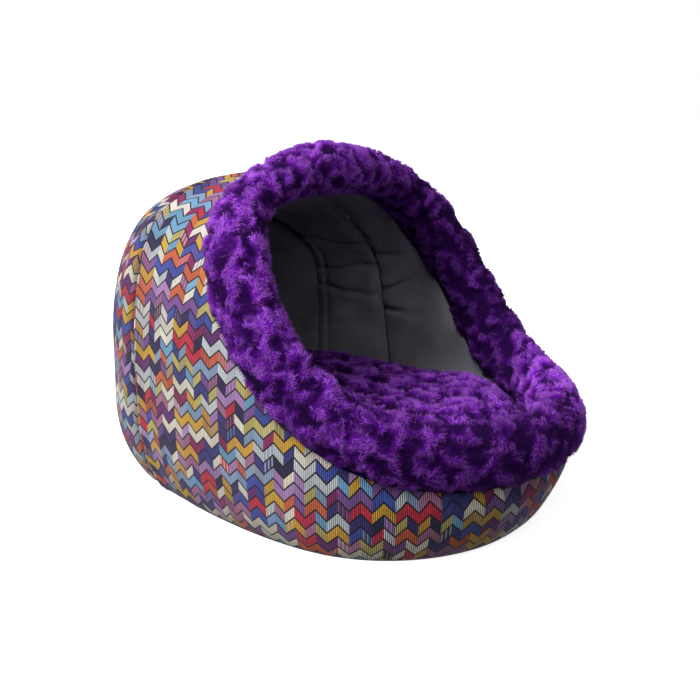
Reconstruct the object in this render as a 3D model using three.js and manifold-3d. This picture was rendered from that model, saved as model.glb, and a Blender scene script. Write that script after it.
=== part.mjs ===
// Hooded pet bed: a domed wall with a low front and an arched roof, sewn from padded zigzag cloth and
// lined inside, a plush rim along the edge of its opening, a filled plush cushion and a flat base.
// Millimetres, Z up, the front towards -Y and the origin on the floor under the middle of the bed.

import * as THREE from 'three';
import { mergeVertices } from 'three/addons/utils/BufferGeometryUtils.js';
import Module from 'manifold-3d';

const wasm = await Module();
wasm.setup();

// Outer form of the wall, a dome about a centre at its widest height
const HALF_WIDTH = 186;
const FRONT_REACH = 240;
const BACK_REACH = 248;
const ROOF_HEIGHT = 328;
const WIDEST_HEIGHT = 119;
const CENTRE_Y = 1.25;
const PLAN_POWER = { front: 1.93, back: 2.74 };
const ARCH_POWER = { front: 2.53, side: 2.95, back: 2.66 };
const FOOT_POWER = 4;
const FOOT_SHARE = { front: 0.915, back: 0.89 };

// Edge of the opening: low at the front lip, sweeping up to the crown of the roof
const LIP_HEIGHT = 90.5;
const CROWN_DEPTH = 33;
const SWEEP_POWER = 2.63;
const OPENING_TILT = 0.5;

// Layers of the wall, and the plush rim that caps it
const WALL = 29;
const PADDING = 23;
const GAP = 0.3;
const QUILT_RISE = 2.5;
const QUILT_ROWS = 6;
const SEAM_FADE = 22;
const RIM_HALF_THICK = 25.5;
const RIM_HALF_TALL = 33;
const RIM_SEAT = RIM_HALF_TALL * Math.sqrt(1 - (WALL / 2 / RIM_HALF_THICK) ** 2);

// Seams: arch planes across the bed, at depth on the floor and leaning back as they rise
const BACK_SEAM = { depth: 120, lean: 0 };
const LINING_SEAMS = {
  back: { depth: 153, lean: 0 },
  middle: { depth: 50, lean: 0.18 },
};

// Base and cushion
const BASE_THICK = 3;
const FOOT_LEVEL = BASE_THICK + GAP;
const CUSHION_CLEARANCE = 0.6;
const RIM_DRAW_IN = { by: 11, from: -85, to: -160 };

// One row for each ring of the cushion, from the middle of its underside to the top of its crown
const CUSHION_RINGS = [
  { reach: 0.55, height: FOOT_LEVEL },
  { reach: 0.83, height: FOOT_LEVEL },
  { reach: 0.915, height: 14 },
  { reach: 0.965, height: 36 },
  { reach: 0.98, height: 57 },
  { reach: 0.965, height: 70 },
  { reach: 0.91, height: 79 },
  { reach: 0.77, height: 87 },
  { reach: 0.55, height: 93 },
  { reach: 0.28, height: 97 },
];
const CUSHION_MIDDLE = { bottom: FOOT_LEVEL, top: 98 };

// Fineness of the meshes
const STATIONS = 72;
const WALL_ROWS = 2 * QUILT_ROWS;
const RIM_POINTS = 14;
const SOLVE_STEPS = 48;
const POLE_CLEAR = 0.02;
const TANGENT_STEP = 0.05;
const TINY = 1e-9;
const CUTTER = 900;

const CENTRE = new THREE.Vector3(0, 0, WIDEST_HEIGHT);
const OPENING_AXIS = new THREE.Vector3(0, -Math.sin(OPENING_TILT), Math.cos(OPENING_TILT));
const ACROSS = new THREE.Vector3(1, 0, 0);
const UP_OPENING = new THREE.Vector3().crossVectors(OPENING_AXIS, ACROSS);

// Last value between low and high for which holds(value) is true, where it is true at low
function solve(holds, low, high) {
  let inside = low;
  let outside = high;
  for (let step = 0; step < SOLVE_STEPS; step += 1) {
    const middle = (inside + outside) / 2;
    if (holds(middle)) {
      inside = middle;
    } else {
      outside = middle;
    }
  }
  return inside;
}

function smooth(share) {
  const s = THREE.MathUtils.clamp(share, 0, 1);
  return s * s * (3 - 2 * s);
}

// Distance from the dome's centre to its surface along a unit direction, taken in by an inset
function domeRadius(direction, inset) {
  const { x, y, z } = direction;
  const end = y < 0 ? 'front' : 'back';
  const reach = (y < 0 ? FRONT_REACH : BACK_REACH) - inset;
  const planPower = PLAN_POWER[end];
  const planX = (Math.abs(x) / (HALF_WIDTH - inset)) ** planPower;
  const planY = (Math.abs(y) / reach) ** planPower;
  const plan = (planX + planY) ** (1 / planPower);
  const endShare = y * y / Math.max(x * x + y * y, TINY);
  if (z < 0) {
    const footShare = THREE.MathUtils.lerp(FOOT_SHARE.back, FOOT_SHARE.front, y < 0 ? endShare : 0);
    const depth = WIDEST_HEIGHT / (1 - footShare ** FOOT_POWER) ** (1 / FOOT_POWER);
    return (plan ** FOOT_POWER + (-z / depth) ** FOOT_POWER) ** (-1 / FOOT_POWER);
  }
  const rise = ROOF_HEIGHT - WIDEST_HEIGHT - inset;
  const power = THREE.MathUtils.lerp(ARCH_POWER.side, ARCH_POWER[end], endShare);
  return (plan ** power + (z / rise) ** power) ** (-1 / power);
}

function domePoint(direction, inset) {
  return direction.clone().multiplyScalar(domeRadius(direction, inset)).add(CENTRE);
}

// Direction at a turn about the opening's axis and a slant away from it
function lineDirection(turn, slant) {
  return OPENING_AXIS.clone()
    .multiplyScalar(Math.cos(slant))
    .addScaledVector(ACROSS, Math.sin(slant) * Math.cos(turn))
    .addScaledVector(UP_OPENING, Math.sin(slant) * Math.sin(turn));
}

// Direction in the bed's middle plane, at an angle from the front over the top
function profileDirection(angle) {
  return new THREE.Vector3(0, -Math.cos(angle), Math.sin(angle));
}

// Ends of the opening's edge in the middle plane: the lip's depth and the crown's height
const profilePoint = (angle) => domePoint(profileDirection(angle), WALL / 2);
const lipAngle = solve((angle) => profilePoint(angle).z < LIP_HEIGHT, -Math.PI / 3, Math.PI / 3);
const crownAngle = solve((angle) => profilePoint(angle).y < CROWN_DEPTH, 0, Math.PI);
const LIP_DEPTH = profilePoint(lipAngle).y;
const CROWN_HEIGHT = profilePoint(crownAngle).z;

function openingHeight(y) {
  const share = THREE.MathUtils.clamp((y - LIP_DEPTH) / (CROWN_DEPTH - LIP_DEPTH), 0, 1);
  return LIP_HEIGHT + (CROWN_HEIGHT - LIP_HEIGHT) * share ** SWEEP_POWER;
}

// Slant at which a line of the wall meets the edge of the opening
function edgeSlant(turn) {
  const inOpening = (slant) => {
    const point = domePoint(lineDirection(turn, slant), WALL / 2);
    return point.z > openingHeight(point.y);
  };
  return solve(inOpening, POLE_CLEAR, Math.PI - POLE_CLEAR);
}

// Frames along the edge of the opening: its point, the way up the wall there and the way out of it
function rimFrames() {
  const turns = Array.from({ length: STATIONS }, (_, i) => (i * 2 * Math.PI) / STATIONS);
  const slants = turns.map(edgeSlant);
  const points = turns.map((turn, i) => domePoint(lineDirection(turn, slants[i]), WALL / 2));
  return turns.map((turn, i) => {
    const next = points[(i + 1) % STATIONS];
    const last = points[(i + STATIONS - 1) % STATIONS];
    const along = next.clone().sub(last).normalize();
    const below = domePoint(lineDirection(turn, slants[i] + TANGENT_STEP), WALL / 2);
    const up = points[i].clone().sub(below);
    up.addScaledVector(along, -up.dot(along)).normalize();
    const out = new THREE.Vector3().crossVectors(along, up);
    if (out.dot(points[i].clone().sub(CENTRE)) < 0) {
      out.negate();
    }
    return { turn, point: points[i], up, out };
  });
}

// Solid from closed sections, each a loop of points, joined in a ring; its faces point out.
// Each four-sided face is split along its shorter diagonal, so that nested layers split alike.
function ringSolid(sections) {
  const size = sections[0].length;
  const points = sections.flat();
  const index = [];
  sections.forEach((_, i) => {
    const a = i * size;
    const b = ((i + 1) % sections.length) * size;
    for (let j = 0; j < size; j += 1) {
      const k = (j + 1) % size;
      if (points[a + j].distanceTo(points[b + k]) < points[b + j].distanceTo(points[a + k])) {
        index.push(a + j, b + j, b + k, a + j, b + k, a + k);
      } else {
        index.push(a + j, b + j, a + k, b + j, b + k, a + k);
      }
    }
  });
  return outward(points.flatMap((point) => point.toArray()), index);
}

// Geometry of a closed mesh, turned round if its volume comes out negative
function outward(positions, index) {
  const corner = (n) => new THREE.Vector3().fromArray(positions, index[n] * 3);
  let volume = 0;
  for (let n = 0; n < index.length; n += 3) {
    volume += corner(n).dot(corner(n + 1).cross(corner(n + 2)));
  }
  const geometry = new THREE.BufferGeometry();
  geometry.setAttribute('position', new THREE.Float32BufferAttribute(positions, 3));
  geometry.setIndex(volume < 0 ? index.toReversed() : index);
  geometry.computeVertexNormals();
  return geometry;
}

// One line up the wall at an inset, from the foot to the underside of the rim, raised inwards by raisedAt
function wallLine(frame, inset, raisedAt = () => 0) {
  const isUp = (slant) => domePoint(lineDirection(frame.turn, slant), inset).z > FOOT_LEVEL;
  const footSlant = solve(isUp, Math.PI / 3, Math.PI - POLE_CLEAR);
  const top = frame.point.clone()
    .addScaledVector(frame.up, -RIM_SEAT - GAP)
    .addScaledVector(frame.out, WALL / 2 - inset)
    .sub(CENTRE);
  const topLength = top.length();
  top.normalize();
  const topSlant = Math.acos(top.dot(OPENING_AXIS));
  const topTurn = Math.atan2(top.dot(UP_OPENING), top.dot(ACROSS));
  const swing = Math.atan2(Math.sin(topTurn - frame.turn), Math.cos(topTurn - frame.turn));
  const stretch = topLength / domeRadius(top, inset) - 1;
  return Array.from({ length: WALL_ROWS + 1 }, (_, row) => {
    const share = row / WALL_ROWS;
    const slant = THREE.MathUtils.lerp(footSlant, topSlant, share);
    const direction = lineDirection(frame.turn + swing * share, slant);
    const plain = domePoint(direction, inset);
    const radius = domeRadius(direction, inset + raisedAt(plain, share)) * (1 + stretch * share * share);
    return direction.multiplyScalar(radius).add(CENTRE);
  });
}

// A layer of the wall all round the bed, between the lines of its outer and its inner face
function wallLayer(frames, outsideAt, insideAt) {
  return ringSolid(frames.map((frame) => [...outsideAt(frame), ...insideAt(frame).reverse()]));
}

// Padded cloth of the outside
function paddingLayer(frames) {
  return wallLayer(
    frames,
    (frame) => wallLine(frame, 0),
    (frame) => wallLine(frame, PADDING),
  );
}

// Quilted lining inside the padding
function liningLayer(frames) {
  return wallLayer(
    frames,
    (frame) => wallLine(frame, PADDING + GAP),
    (frame) => wallLine(frame, WALL - QUILT_RISE, quilting),
  );
}

function seamDepth(seam, z) {
  return seam.depth + seam.lean * z;
}

// Rise of the quilted lining at a point: soft rows between sewn lines, flat at the seams and the back
function quilting(point, share) {
  const fromBack = (seamDepth(LINING_SEAMS.back, point.z) - point.y) / SEAM_FADE;
  const fromMiddle = Math.abs(point.y - seamDepth(LINING_SEAMS.middle, point.z)) / SEAM_FADE;
  const rows = Math.sin(share * QUILT_ROWS * Math.PI) ** 2;
  return QUILT_RISE * rows * smooth(fromBack) * smooth(fromMiddle);
}

function toSolid(geometry) {
  const bare = geometry.clone();
  bare.deleteAttribute('normal');
  bare.deleteAttribute('uv');
  const merged = mergeVertices(bare);
  return new wasm.Manifold(new wasm.Mesh({
    numProp: 3,
    vertProperties: new Float32Array(merged.attributes.position.array),
    triVerts: new Uint32Array(merged.index.array),
  }));
}

function toGeometry(solid) {
  const { vertProperties, triVerts } = solid.getMesh();
  return outward(Array.from(vertProperties), Array.from(triVerts));
}

// A block that holds everything on one side of a seam, half a gap away from it
function sideOf(seam, side) {
  const block = new THREE.BoxGeometry(CUTTER, CUTTER, CUTTER);
  block.translate(0, (side * (CUTTER + GAP)) / 2, 0);
  block.rotateX(-Math.atan(seam.lean));
  block.translate(0, seam.depth, 0);
  return toSolid(block);
}

const behind = (seam) => sideOf(seam, 1);
const before = (seam) => sideOf(seam, -1);

// Plush tube along the edge of the opening, flat where it sits on the wall
function rimGeometry(frames) {
  const start = -Math.asin(RIM_SEAT / RIM_HALF_TALL);
  const sweep = Math.PI - 2 * start;
  return ringSolid(frames.map((frame) => Array.from({ length: RIM_POINTS }, (_, n) => {
    const angle = start + (sweep * n) / (RIM_POINTS - 1);
    return frame.point.clone()
      .addScaledVector(frame.out, RIM_HALF_THICK * Math.cos(angle))
      .addScaledVector(frame.up, RIM_HALF_TALL * Math.sin(angle));
  })));
}

// Outline of the bed's foot in plan, as the wall meets the base
function footPoint(turn) {
  const flat = new THREE.Vector3(Math.cos(turn), Math.sin(turn), 0);
  const at = (drop) => flat.clone()
    .multiplyScalar(Math.cos(drop))
    .setZ(-Math.sin(drop));
  const drop = solve((d) => domePoint(at(d), 0).z > FOOT_LEVEL, 0, Math.PI / 2);
  return domePoint(at(drop), 0);
}

function baseGeometry() {
  const outline = Array.from({ length: STATIONS }, (_, i) => footPoint((i * 2 * Math.PI) / STATIONS));
  const shape = new THREE.Shape(outline.map((point) => new THREE.Vector2(point.x, point.y)));
  return new THREE.ExtrudeGeometry(shape, { depth: BASE_THICK, bevelEnabled: false });
}

// Filled cushion: rings that follow the wall in plan, drawn in under the front of the rim
function cushionGeometry() {
  const positions = [];
  CUSHION_RINGS.forEach(({ reach, height }) => {
    for (let i = 0; i < STATIONS; i += 1) {
      const turn = (i * 2 * Math.PI) / STATIONS;
      const direction = new THREE.Vector3(Math.cos(turn), Math.sin(turn), 0);
      const plain = domePoint(direction, WALL);
      const { by, from, to } = RIM_DRAW_IN;
      const drawIn = by * smooth((plain.y - from) / (to - from));
      const edge = domePoint(direction, WALL + CUSHION_CLEARANCE + drawIn);
      positions.push(edge.x * reach, edge.y * reach, height);
    }
  });
  const bottom = positions.length / 3;
  positions.push(0, 0, CUSHION_MIDDLE.bottom, 0, 0, CUSHION_MIDDLE.top);
  const lastRing = (CUSHION_RINGS.length - 1) * STATIONS;
  const index = [];
  for (let i = 0; i < STATIONS; i += 1) {
    const k = (i + 1) % STATIONS;
    index.push(bottom, k, i, bottom + 1, lastRing + i, lastRing + k);
    for (let ring = 0; ring < lastRing; ring += STATIONS) {
      const next = ring + STATIONS;
      index.push(ring + i, ring + k, next + k, ring + i, next + k, next + i);
    }
  }
  return outward(positions, index);
}

const FINISHES = {
  zigzag: { color: 0x7a5a86, roughness: 0.9 },
  plush: { color: 0x4b1290, roughness: 0.95 },
  lining: { color: 0x2b2b2e, roughness: 0.8 },
  base: { color: 0x3a3a3c, roughness: 0.85 },
};

function piece(name, geometry, finish) {
  const material = new THREE.MeshStandardMaterial({ ...FINISHES[finish], metalness: 0 });
  const mesh = new THREE.Mesh(geometry, material);
  mesh.name = name;
  return mesh;
}

const frames = rimFrames();
const padding = toSolid(paddingLayer(frames));
const lining = toSolid(liningLayer(frames));
const liningBehind = lining.intersect(behind(LINING_SEAMS.back));
const liningBetween = lining.intersect(before(LINING_SEAMS.back)).intersect(behind(LINING_SEAMS.middle));
const liningBefore = lining.intersect(before(LINING_SEAMS.middle));

const bed = new THREE.Group();
bed.position.y = CENTRE_Y;
bed.add(
  piece('base_panel', baseGeometry(), 'base'),
  piece('outer_back', toGeometry(padding.intersect(behind(BACK_SEAM))), 'zigzag'),
  piece('outer_wrap', toGeometry(padding.intersect(before(BACK_SEAM))), 'zigzag'),
  piece('lining_back', toGeometry(liningBehind), 'lining'),
  piece('lining_middle', toGeometry(liningBetween), 'lining'),
  piece('lining_front', toGeometry(liningBefore), 'lining'),
  piece('rim', rimGeometry(frames), 'plush'),
  piece('cushion', cushionGeometry(), 'plush'),
);

export default bed;
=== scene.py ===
"""Dresses the hooded pet bed: zigzag wall cloth, plush rim and cushion, quilted lining and base.

Metres, Z up, the front towards -Y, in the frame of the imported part.
"""

import sys

import logging
import math
from contextlib import contextmanager
from dataclasses import dataclass, field, replace
from enum import Enum
from typing import Any, Callable, Iterator

import bpy
import numpy as np
from mathutils import Matrix, Vector


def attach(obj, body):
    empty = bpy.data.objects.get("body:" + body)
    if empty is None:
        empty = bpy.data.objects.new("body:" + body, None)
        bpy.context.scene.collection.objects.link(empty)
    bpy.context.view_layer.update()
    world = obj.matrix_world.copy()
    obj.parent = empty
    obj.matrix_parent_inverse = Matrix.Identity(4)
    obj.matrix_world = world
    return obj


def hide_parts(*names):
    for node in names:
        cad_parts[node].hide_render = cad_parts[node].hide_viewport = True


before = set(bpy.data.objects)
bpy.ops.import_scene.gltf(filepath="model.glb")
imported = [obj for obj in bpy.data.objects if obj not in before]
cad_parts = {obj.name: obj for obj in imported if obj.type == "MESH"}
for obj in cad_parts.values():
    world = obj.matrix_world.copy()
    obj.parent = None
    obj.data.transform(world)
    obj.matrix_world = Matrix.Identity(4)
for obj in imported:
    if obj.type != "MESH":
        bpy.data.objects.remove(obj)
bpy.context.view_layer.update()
LOG = logging.getLogger("pet_bed")

Array = np.ndarray
Colour = tuple[float, float, float]
Pair = tuple[float, float]
Piece = bpy.types.Object
Material = bpy.types.Material
Socket = bpy.types.NodeSocket

BLACK: Colour = (0.0, 0.0, 0.0)
QUARTER = math.pi / 2
# Steps of a search, and even turns at which the opening's edge is read
HALVINGS = 40
TURNS = 720


class Slot(Enum):
    """Material slots of the part."""

    ZIGZAG = "zigzag_cloth"
    PLUSH = "plush"
    LINING = "lining_cloth"
    BASE = "base_cloth"


class Hold(Enum):
    """How a sheet of cloth is held."""

    STRETCHED = "stretched"
    LAID = "laid"


# Arithmetic


def smooth(value: Array | float, low: float, high: float) -> Array:
    """Soft step from 0 at low to 1 at high."""
    share = np.clip((np.asarray(value) - low) / (high - low), 0.0, 1.0)
    return share * share * (3.0 - 2.0 * share)


def hump(value: Array, middle: float, width: float | Array, power: float = 2) -> Array:
    """Bell of height 1 about a middle."""
    return np.exp(-(((value - middle) / width) ** power))


def fade(away: Array, reach: float) -> Array:
    """Fall from 1 at 0 towards 0 over a reach."""
    return np.exp(-np.abs(away) / reach)


def unit(vectors: Array) -> Array:
    """Vectors scaled to length 1."""
    return vectors / np.maximum(np.linalg.norm(vectors, axis=-1, keepdims=True), 1e-12)


def lengths(places: Array, axis: int) -> Array:
    """Lengths of the steps between neighbouring points."""
    return np.linalg.norm(np.diff(places, axis=axis), axis=-1)


def solve(holds: Callable[[Array], Array], low: Array, high: Array) -> Array:
    """Finds the last value that a test holds for, where it holds at low.

    Args:
        holds: test of an array of values, one answer each.
        low: values at which the test holds.
        high: upper ends of the search.

    Returns:
        The values at which the test stops holding.
    """
    inside, outside = np.array(low, float), np.array(high, float)
    for _ in range(HALVINGS):
        middle = (inside + outside) / 2
        good = holds(middle)
        inside = np.where(good, middle, inside)
        outside = np.where(good, outside, middle)
    return inside


def waves(places: Array, length: float, seed: int, count: int = 7) -> Array:
    """Smooth uneven field of plane waves, from about -1 to 1.

    Args:
        places: points, last axis x, y, z or u, v.
        length: usual wave length.
        seed: seed of the directions and phases.
        count: number of waves.

    Returns:
        One value for each point.
    """
    rng = np.random.default_rng(seed)
    total = np.zeros(places.shape[:-1])
    for _ in range(count):
        way = unit(rng.normal(size=places.shape[-1])) * math.tau / (length * rng.uniform(0.7, 1.5))
        total += np.sin(places @ way + rng.uniform(0, math.tau))
    return total / math.sqrt(2 * count)


@dataclass(frozen=True)
class Swell:
    """Bell-shaped swelling: its size, its middle and its width."""

    size: float
    middle: float
    width: float

    def at(self, value: Array) -> Array:
        """Height of the swelling at some values."""
        return self.size * hump(value, self.middle, self.width)


@dataclass(frozen=True)
class Ripple:
    """Smooth uneven field: its size, its usual wave length, and its seed or what it adds to one."""

    size: float
    wave: float
    seed: int = 0

    def at(self, places: Array, seed: int = 0) -> Array:
        """Height of the field at some places."""
        return self.size * waves(places, self.wave, seed + self.seed)


# Form of the wall


@dataclass(frozen=True)
class Dome:
    """Outer form of the bed about a centre at its widest height."""

    half_width: float = 0.186
    front_reach: float = 0.240
    back_reach: float = 0.248
    roof_height: float = 0.328
    widest_height: float = 0.119
    centre_y: float = 0.00125
    front_plan: float = 1.93
    back_plan: float = 2.74
    front_arch: float = 2.53
    side_arch: float = 2.95
    back_arch: float = 2.66
    foot_power: float = 4.0
    front_foot: float = 0.915
    back_foot: float = 0.89
    longest_ray: float = 0.6

    @property
    def centre(self) -> Array:
        """Centre of the dome in the part's frame."""
        return np.array((0.0, self.centre_y, self.widest_height))

    def height(self, place: Array) -> Array:
        """Height above the floor of points given from the centre."""
        return place[..., 2] + self.widest_height

    def radius(self, way: Array, inset: float | Array = 0.0) -> Array:
        """Distance from the centre to the surface.

        Args:
            way: unit directions, last axis x, y, z.
            inset: how far the surface is taken in.

        Returns:
            One distance for each direction.
        """
        x, y, z = np.abs(way[..., 0]), way[..., 1], way[..., 2]
        front = y < 0
        power = np.where(front, self.front_plan, self.back_plan)
        reach = np.where(front, self.front_reach, self.back_reach) - inset
        plan = ((x / (self.half_width - inset)) ** power + (np.abs(y) / reach) ** power) ** (1 / power)
        end = y * y / np.maximum(x * x + y * y, 1e-9)
        foot = self.back_foot + (self.front_foot - self.back_foot) * np.where(front, end, 0.0)
        depth = self.widest_height / (1 - foot**self.foot_power) ** (1 / self.foot_power)
        arch = self.side_arch + (np.where(front, self.front_arch, self.back_arch) - self.side_arch) * end
        rise = self.roof_height - self.widest_height - inset
        low = plan**self.foot_power + (np.maximum(-z, 0) / depth) ** self.foot_power
        high = plan**arch + (np.maximum(z, 0) / rise) ** arch
        return np.where(z < 0, low ** (-1 / self.foot_power), high ** (-1 / arch))

    def point(self, way: Array, inset: float | Array = 0.0) -> Array:
        """Points on the surface, from the dome's centre."""
        return way * self.radius(way, inset)[..., None]

    def hit(self, start: Array, way: Array) -> Array:
        """Points where rays from inside meet the outer surface, from the dome's centre.

        Args:
            start: ray starts.
            way: unit directions.

        Returns:
            The points that the rays meet.
        """

        def inside(length: Array) -> Array:
            place = start + way * length[..., None]
            return np.linalg.norm(place, axis=-1) < self.radius(unit(place))

        low = np.zeros(np.broadcast_shapes(start.shape, way.shape)[:-1])
        return start + way * solve(inside, low, low + self.longest_ray)[..., None]


@dataclass(frozen=True)
class Edge:
    """Frames along the edge of the opening, one row for each turn."""

    turn: Array
    point: Array
    up: Array
    out: Array


@dataclass(frozen=True)
class Seam:
    """Arch across the bed: its depth on the floor, its lean back, and its bow back under the roof."""

    depth: float
    lean: float = 0.0
    bow: float = 0.0
    bow_heights: Pair = (0.19, 0.265)

    def behind(self, place: Array) -> Array:
        """How far points lie behind the seam, from the dome's centre."""
        height = place[..., 2] + Dome.widest_height
        return place[..., 1] - self.depth - self.lean * height - self.bow * smooth(height, *self.bow_heights)


@dataclass(frozen=True)
class Opening:
    """Edge of the opening, and the lines that run up the wall to it."""

    dome: Dome = Dome()
    lip_height: float = 0.0905
    crown_depth: float = 0.033
    sweep: float = 2.63
    tilt: float = 0.5
    wall: float = 0.029
    rim_half_thick: float = 0.0255
    rim_half_tall: float = 0.033
    foot_level: float = 0.0033
    gap: float = 0.0003
    pole_slant: float = 0.02
    down_slant: float = 0.05
    foot_swells: tuple[Swell, ...] = (
        Swell(0.012, -0.86, 0.45),
        Swell(-0.012, 0.05, 0.38),
        Swell(-0.0045, -2.1, 0.3),
    )
    foot_tall: float = 0.05

    @property
    def axis(self) -> Array:
        """Axis that the wall's lines turn about."""
        return np.array((0.0, -math.sin(self.tilt), math.cos(self.tilt)))

    @property
    def rise_way(self) -> Array:
        """Way from the axis towards the roof."""
        return np.array((0.0, math.cos(self.tilt), math.sin(self.tilt)))

    @property
    def rim_seat(self) -> float:
        """How far below the edge the rim sits on the wall."""
        return self.rim_half_tall * math.sqrt(1 - (self.wall / 2 / self.rim_half_thick) ** 2)

    def settled(self, place: Array) -> Array:
        """How far the foot has settled: out at the left front, in at the front and at the left rear."""
        turn = np.arctan2(place[..., 0], -place[..., 1])
        return sum(s.at(turn) for s in self.foot_swells) * hump(self.dome.height(place), 0.0, self.foot_tall)

    def way(self, turn: Array, slant: Array) -> Array:
        """Directions at turns about the axis and slants away from it."""
        flat = np.cos(turn)[..., None] * np.array((1.0, 0.0, 0.0)) + np.sin(turn)[..., None] * self.rise_way
        return np.cos(slant)[..., None] * self.axis + np.sin(slant)[..., None] * flat

    def edge(self, turn: Array) -> Edge:
        """Frames of the opening's edge.

        Args:
            turn: turns about the axis, once round in even steps.

        Returns:
            The edge's points and the ways up and out there.
        """
        dome, half = self.dome, self.wall / 2

        def profile(angle: Array) -> Array:
            return dome.point(np.stack((angle * 0, -np.cos(angle), np.sin(angle)), -1), half)

        def below_lip(angle: Array) -> Array:
            return dome.height(profile(angle)) < self.lip_height

        def before_crown(angle: Array) -> Array:
            return profile(angle)[..., 1] < self.crown_depth

        lip = profile(solve(below_lip, np.array(-1.0), np.array(1.0)))
        crown = profile(solve(before_crown, np.array(0.0), np.array(math.pi)))
        climb = dome.height(crown) - self.lip_height

        def in_opening(slant: Array) -> Array:
            place = dome.point(self.way(turn, slant), half)
            share = np.clip((place[..., 1] - lip[1]) / (self.crown_depth - lip[1]), 0, 1)
            return dome.height(place) > self.lip_height + climb * share**self.sweep

        full = np.ones(turn.shape)
        slant = solve(in_opening, full * self.pole_slant, full * (math.pi - self.pole_slant))
        point = dome.point(self.way(turn, slant), half)
        along = unit(np.roll(point, -1, 0) - np.roll(point, 1, 0))
        up = point - dome.point(self.way(turn, slant + self.down_slant), half)
        up = unit(up - along * np.sum(up * along, -1, keepdims=True))
        out = np.cross(along, up)
        out *= np.sign(np.sum(out * point, -1, keepdims=True))
        return Edge(turn, point, up, out)

    def edge_near(self, turn: Array) -> Edge:
        """Frames of the opening's edge at turns that needn't go once round.

        Args:
            turn: turns about the axis.

        Returns:
            The edge's frames there.
        """
        whole = self.edge(np.arange(TURNS) * math.tau / TURNS)
        row = np.mod(turn, math.tau) / math.tau * TURNS
        low = row.astype(int) % TURNS
        part = (row - row.astype(int))[:, None]

        def between(values: Array) -> Array:
            return values[low] * (1 - part) + values[(low + 1) % TURNS] * part

        return Edge(turn, between(whole.point), unit(between(whole.up)), unit(between(whole.out)))


class WallFace:
    """A face of the wall at an inset: lines from the foot to the rim, one for each turn."""

    def __init__(self, opening: Opening, edge: Edge, inset: float) -> None:
        """Works out where each line starts and ends.

        Args:
            opening: the opening whose edge the lines run to.
            edge: its frames.
            inset: how far the face is taken in from the dome.
        """
        self.opening, self.edge, self.inset = opening, edge, inset
        dome = opening.dome

        def is_up(slant: Array) -> Array:
            return dome.height(dome.point(opening.way(edge.turn, slant), inset)) > opening.foot_level

        full = np.ones(edge.turn.shape)
        self.foot_slant = solve(is_up, full * math.pi / 3, full * (math.pi - opening.pole_slant))
        top = edge.point - edge.up * (opening.rim_seat + opening.gap) + edge.out * (opening.wall / 2 - inset)
        length, top = np.linalg.norm(top, axis=-1), unit(top)
        self.top_slant = np.arccos(top @ opening.axis)
        turn = np.arctan2(top @ opening.rise_way, top[..., 0])
        self.swing = np.arctan2(np.sin(turn - edge.turn), np.cos(turn - edge.turn))
        self.stretch = length / dome.radius(top, inset) - 1

    def at(self, share: Array, lift: Array | float = 0.0) -> Array:
        """Points on the face, from the dome's centre.

        Args:
            share: how far up each line, as rows of one value for each turn.
            lift: how far the face is raised outwards there.

        Returns:
            Points, rows by turns.
        """
        slant = self.foot_slant + (self.top_slant - self.foot_slant) * share
        way = self.opening.way(self.edge.turn + self.swing * share, slant)
        radius = self.opening.dome.radius(way, self.inset - lift) * (1 + self.stretch * share**2)
        return way * radius[..., None]

    def crossing(self, seam: Seam) -> Array:
        """Share at which each line passes in front of a seam, 0 where its foot is in front already."""
        zero = np.zeros(self.edge.turn.shape)
        return solve(lambda share: seam.behind(self.at(share)) > 0, zero, zero + 1)


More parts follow.
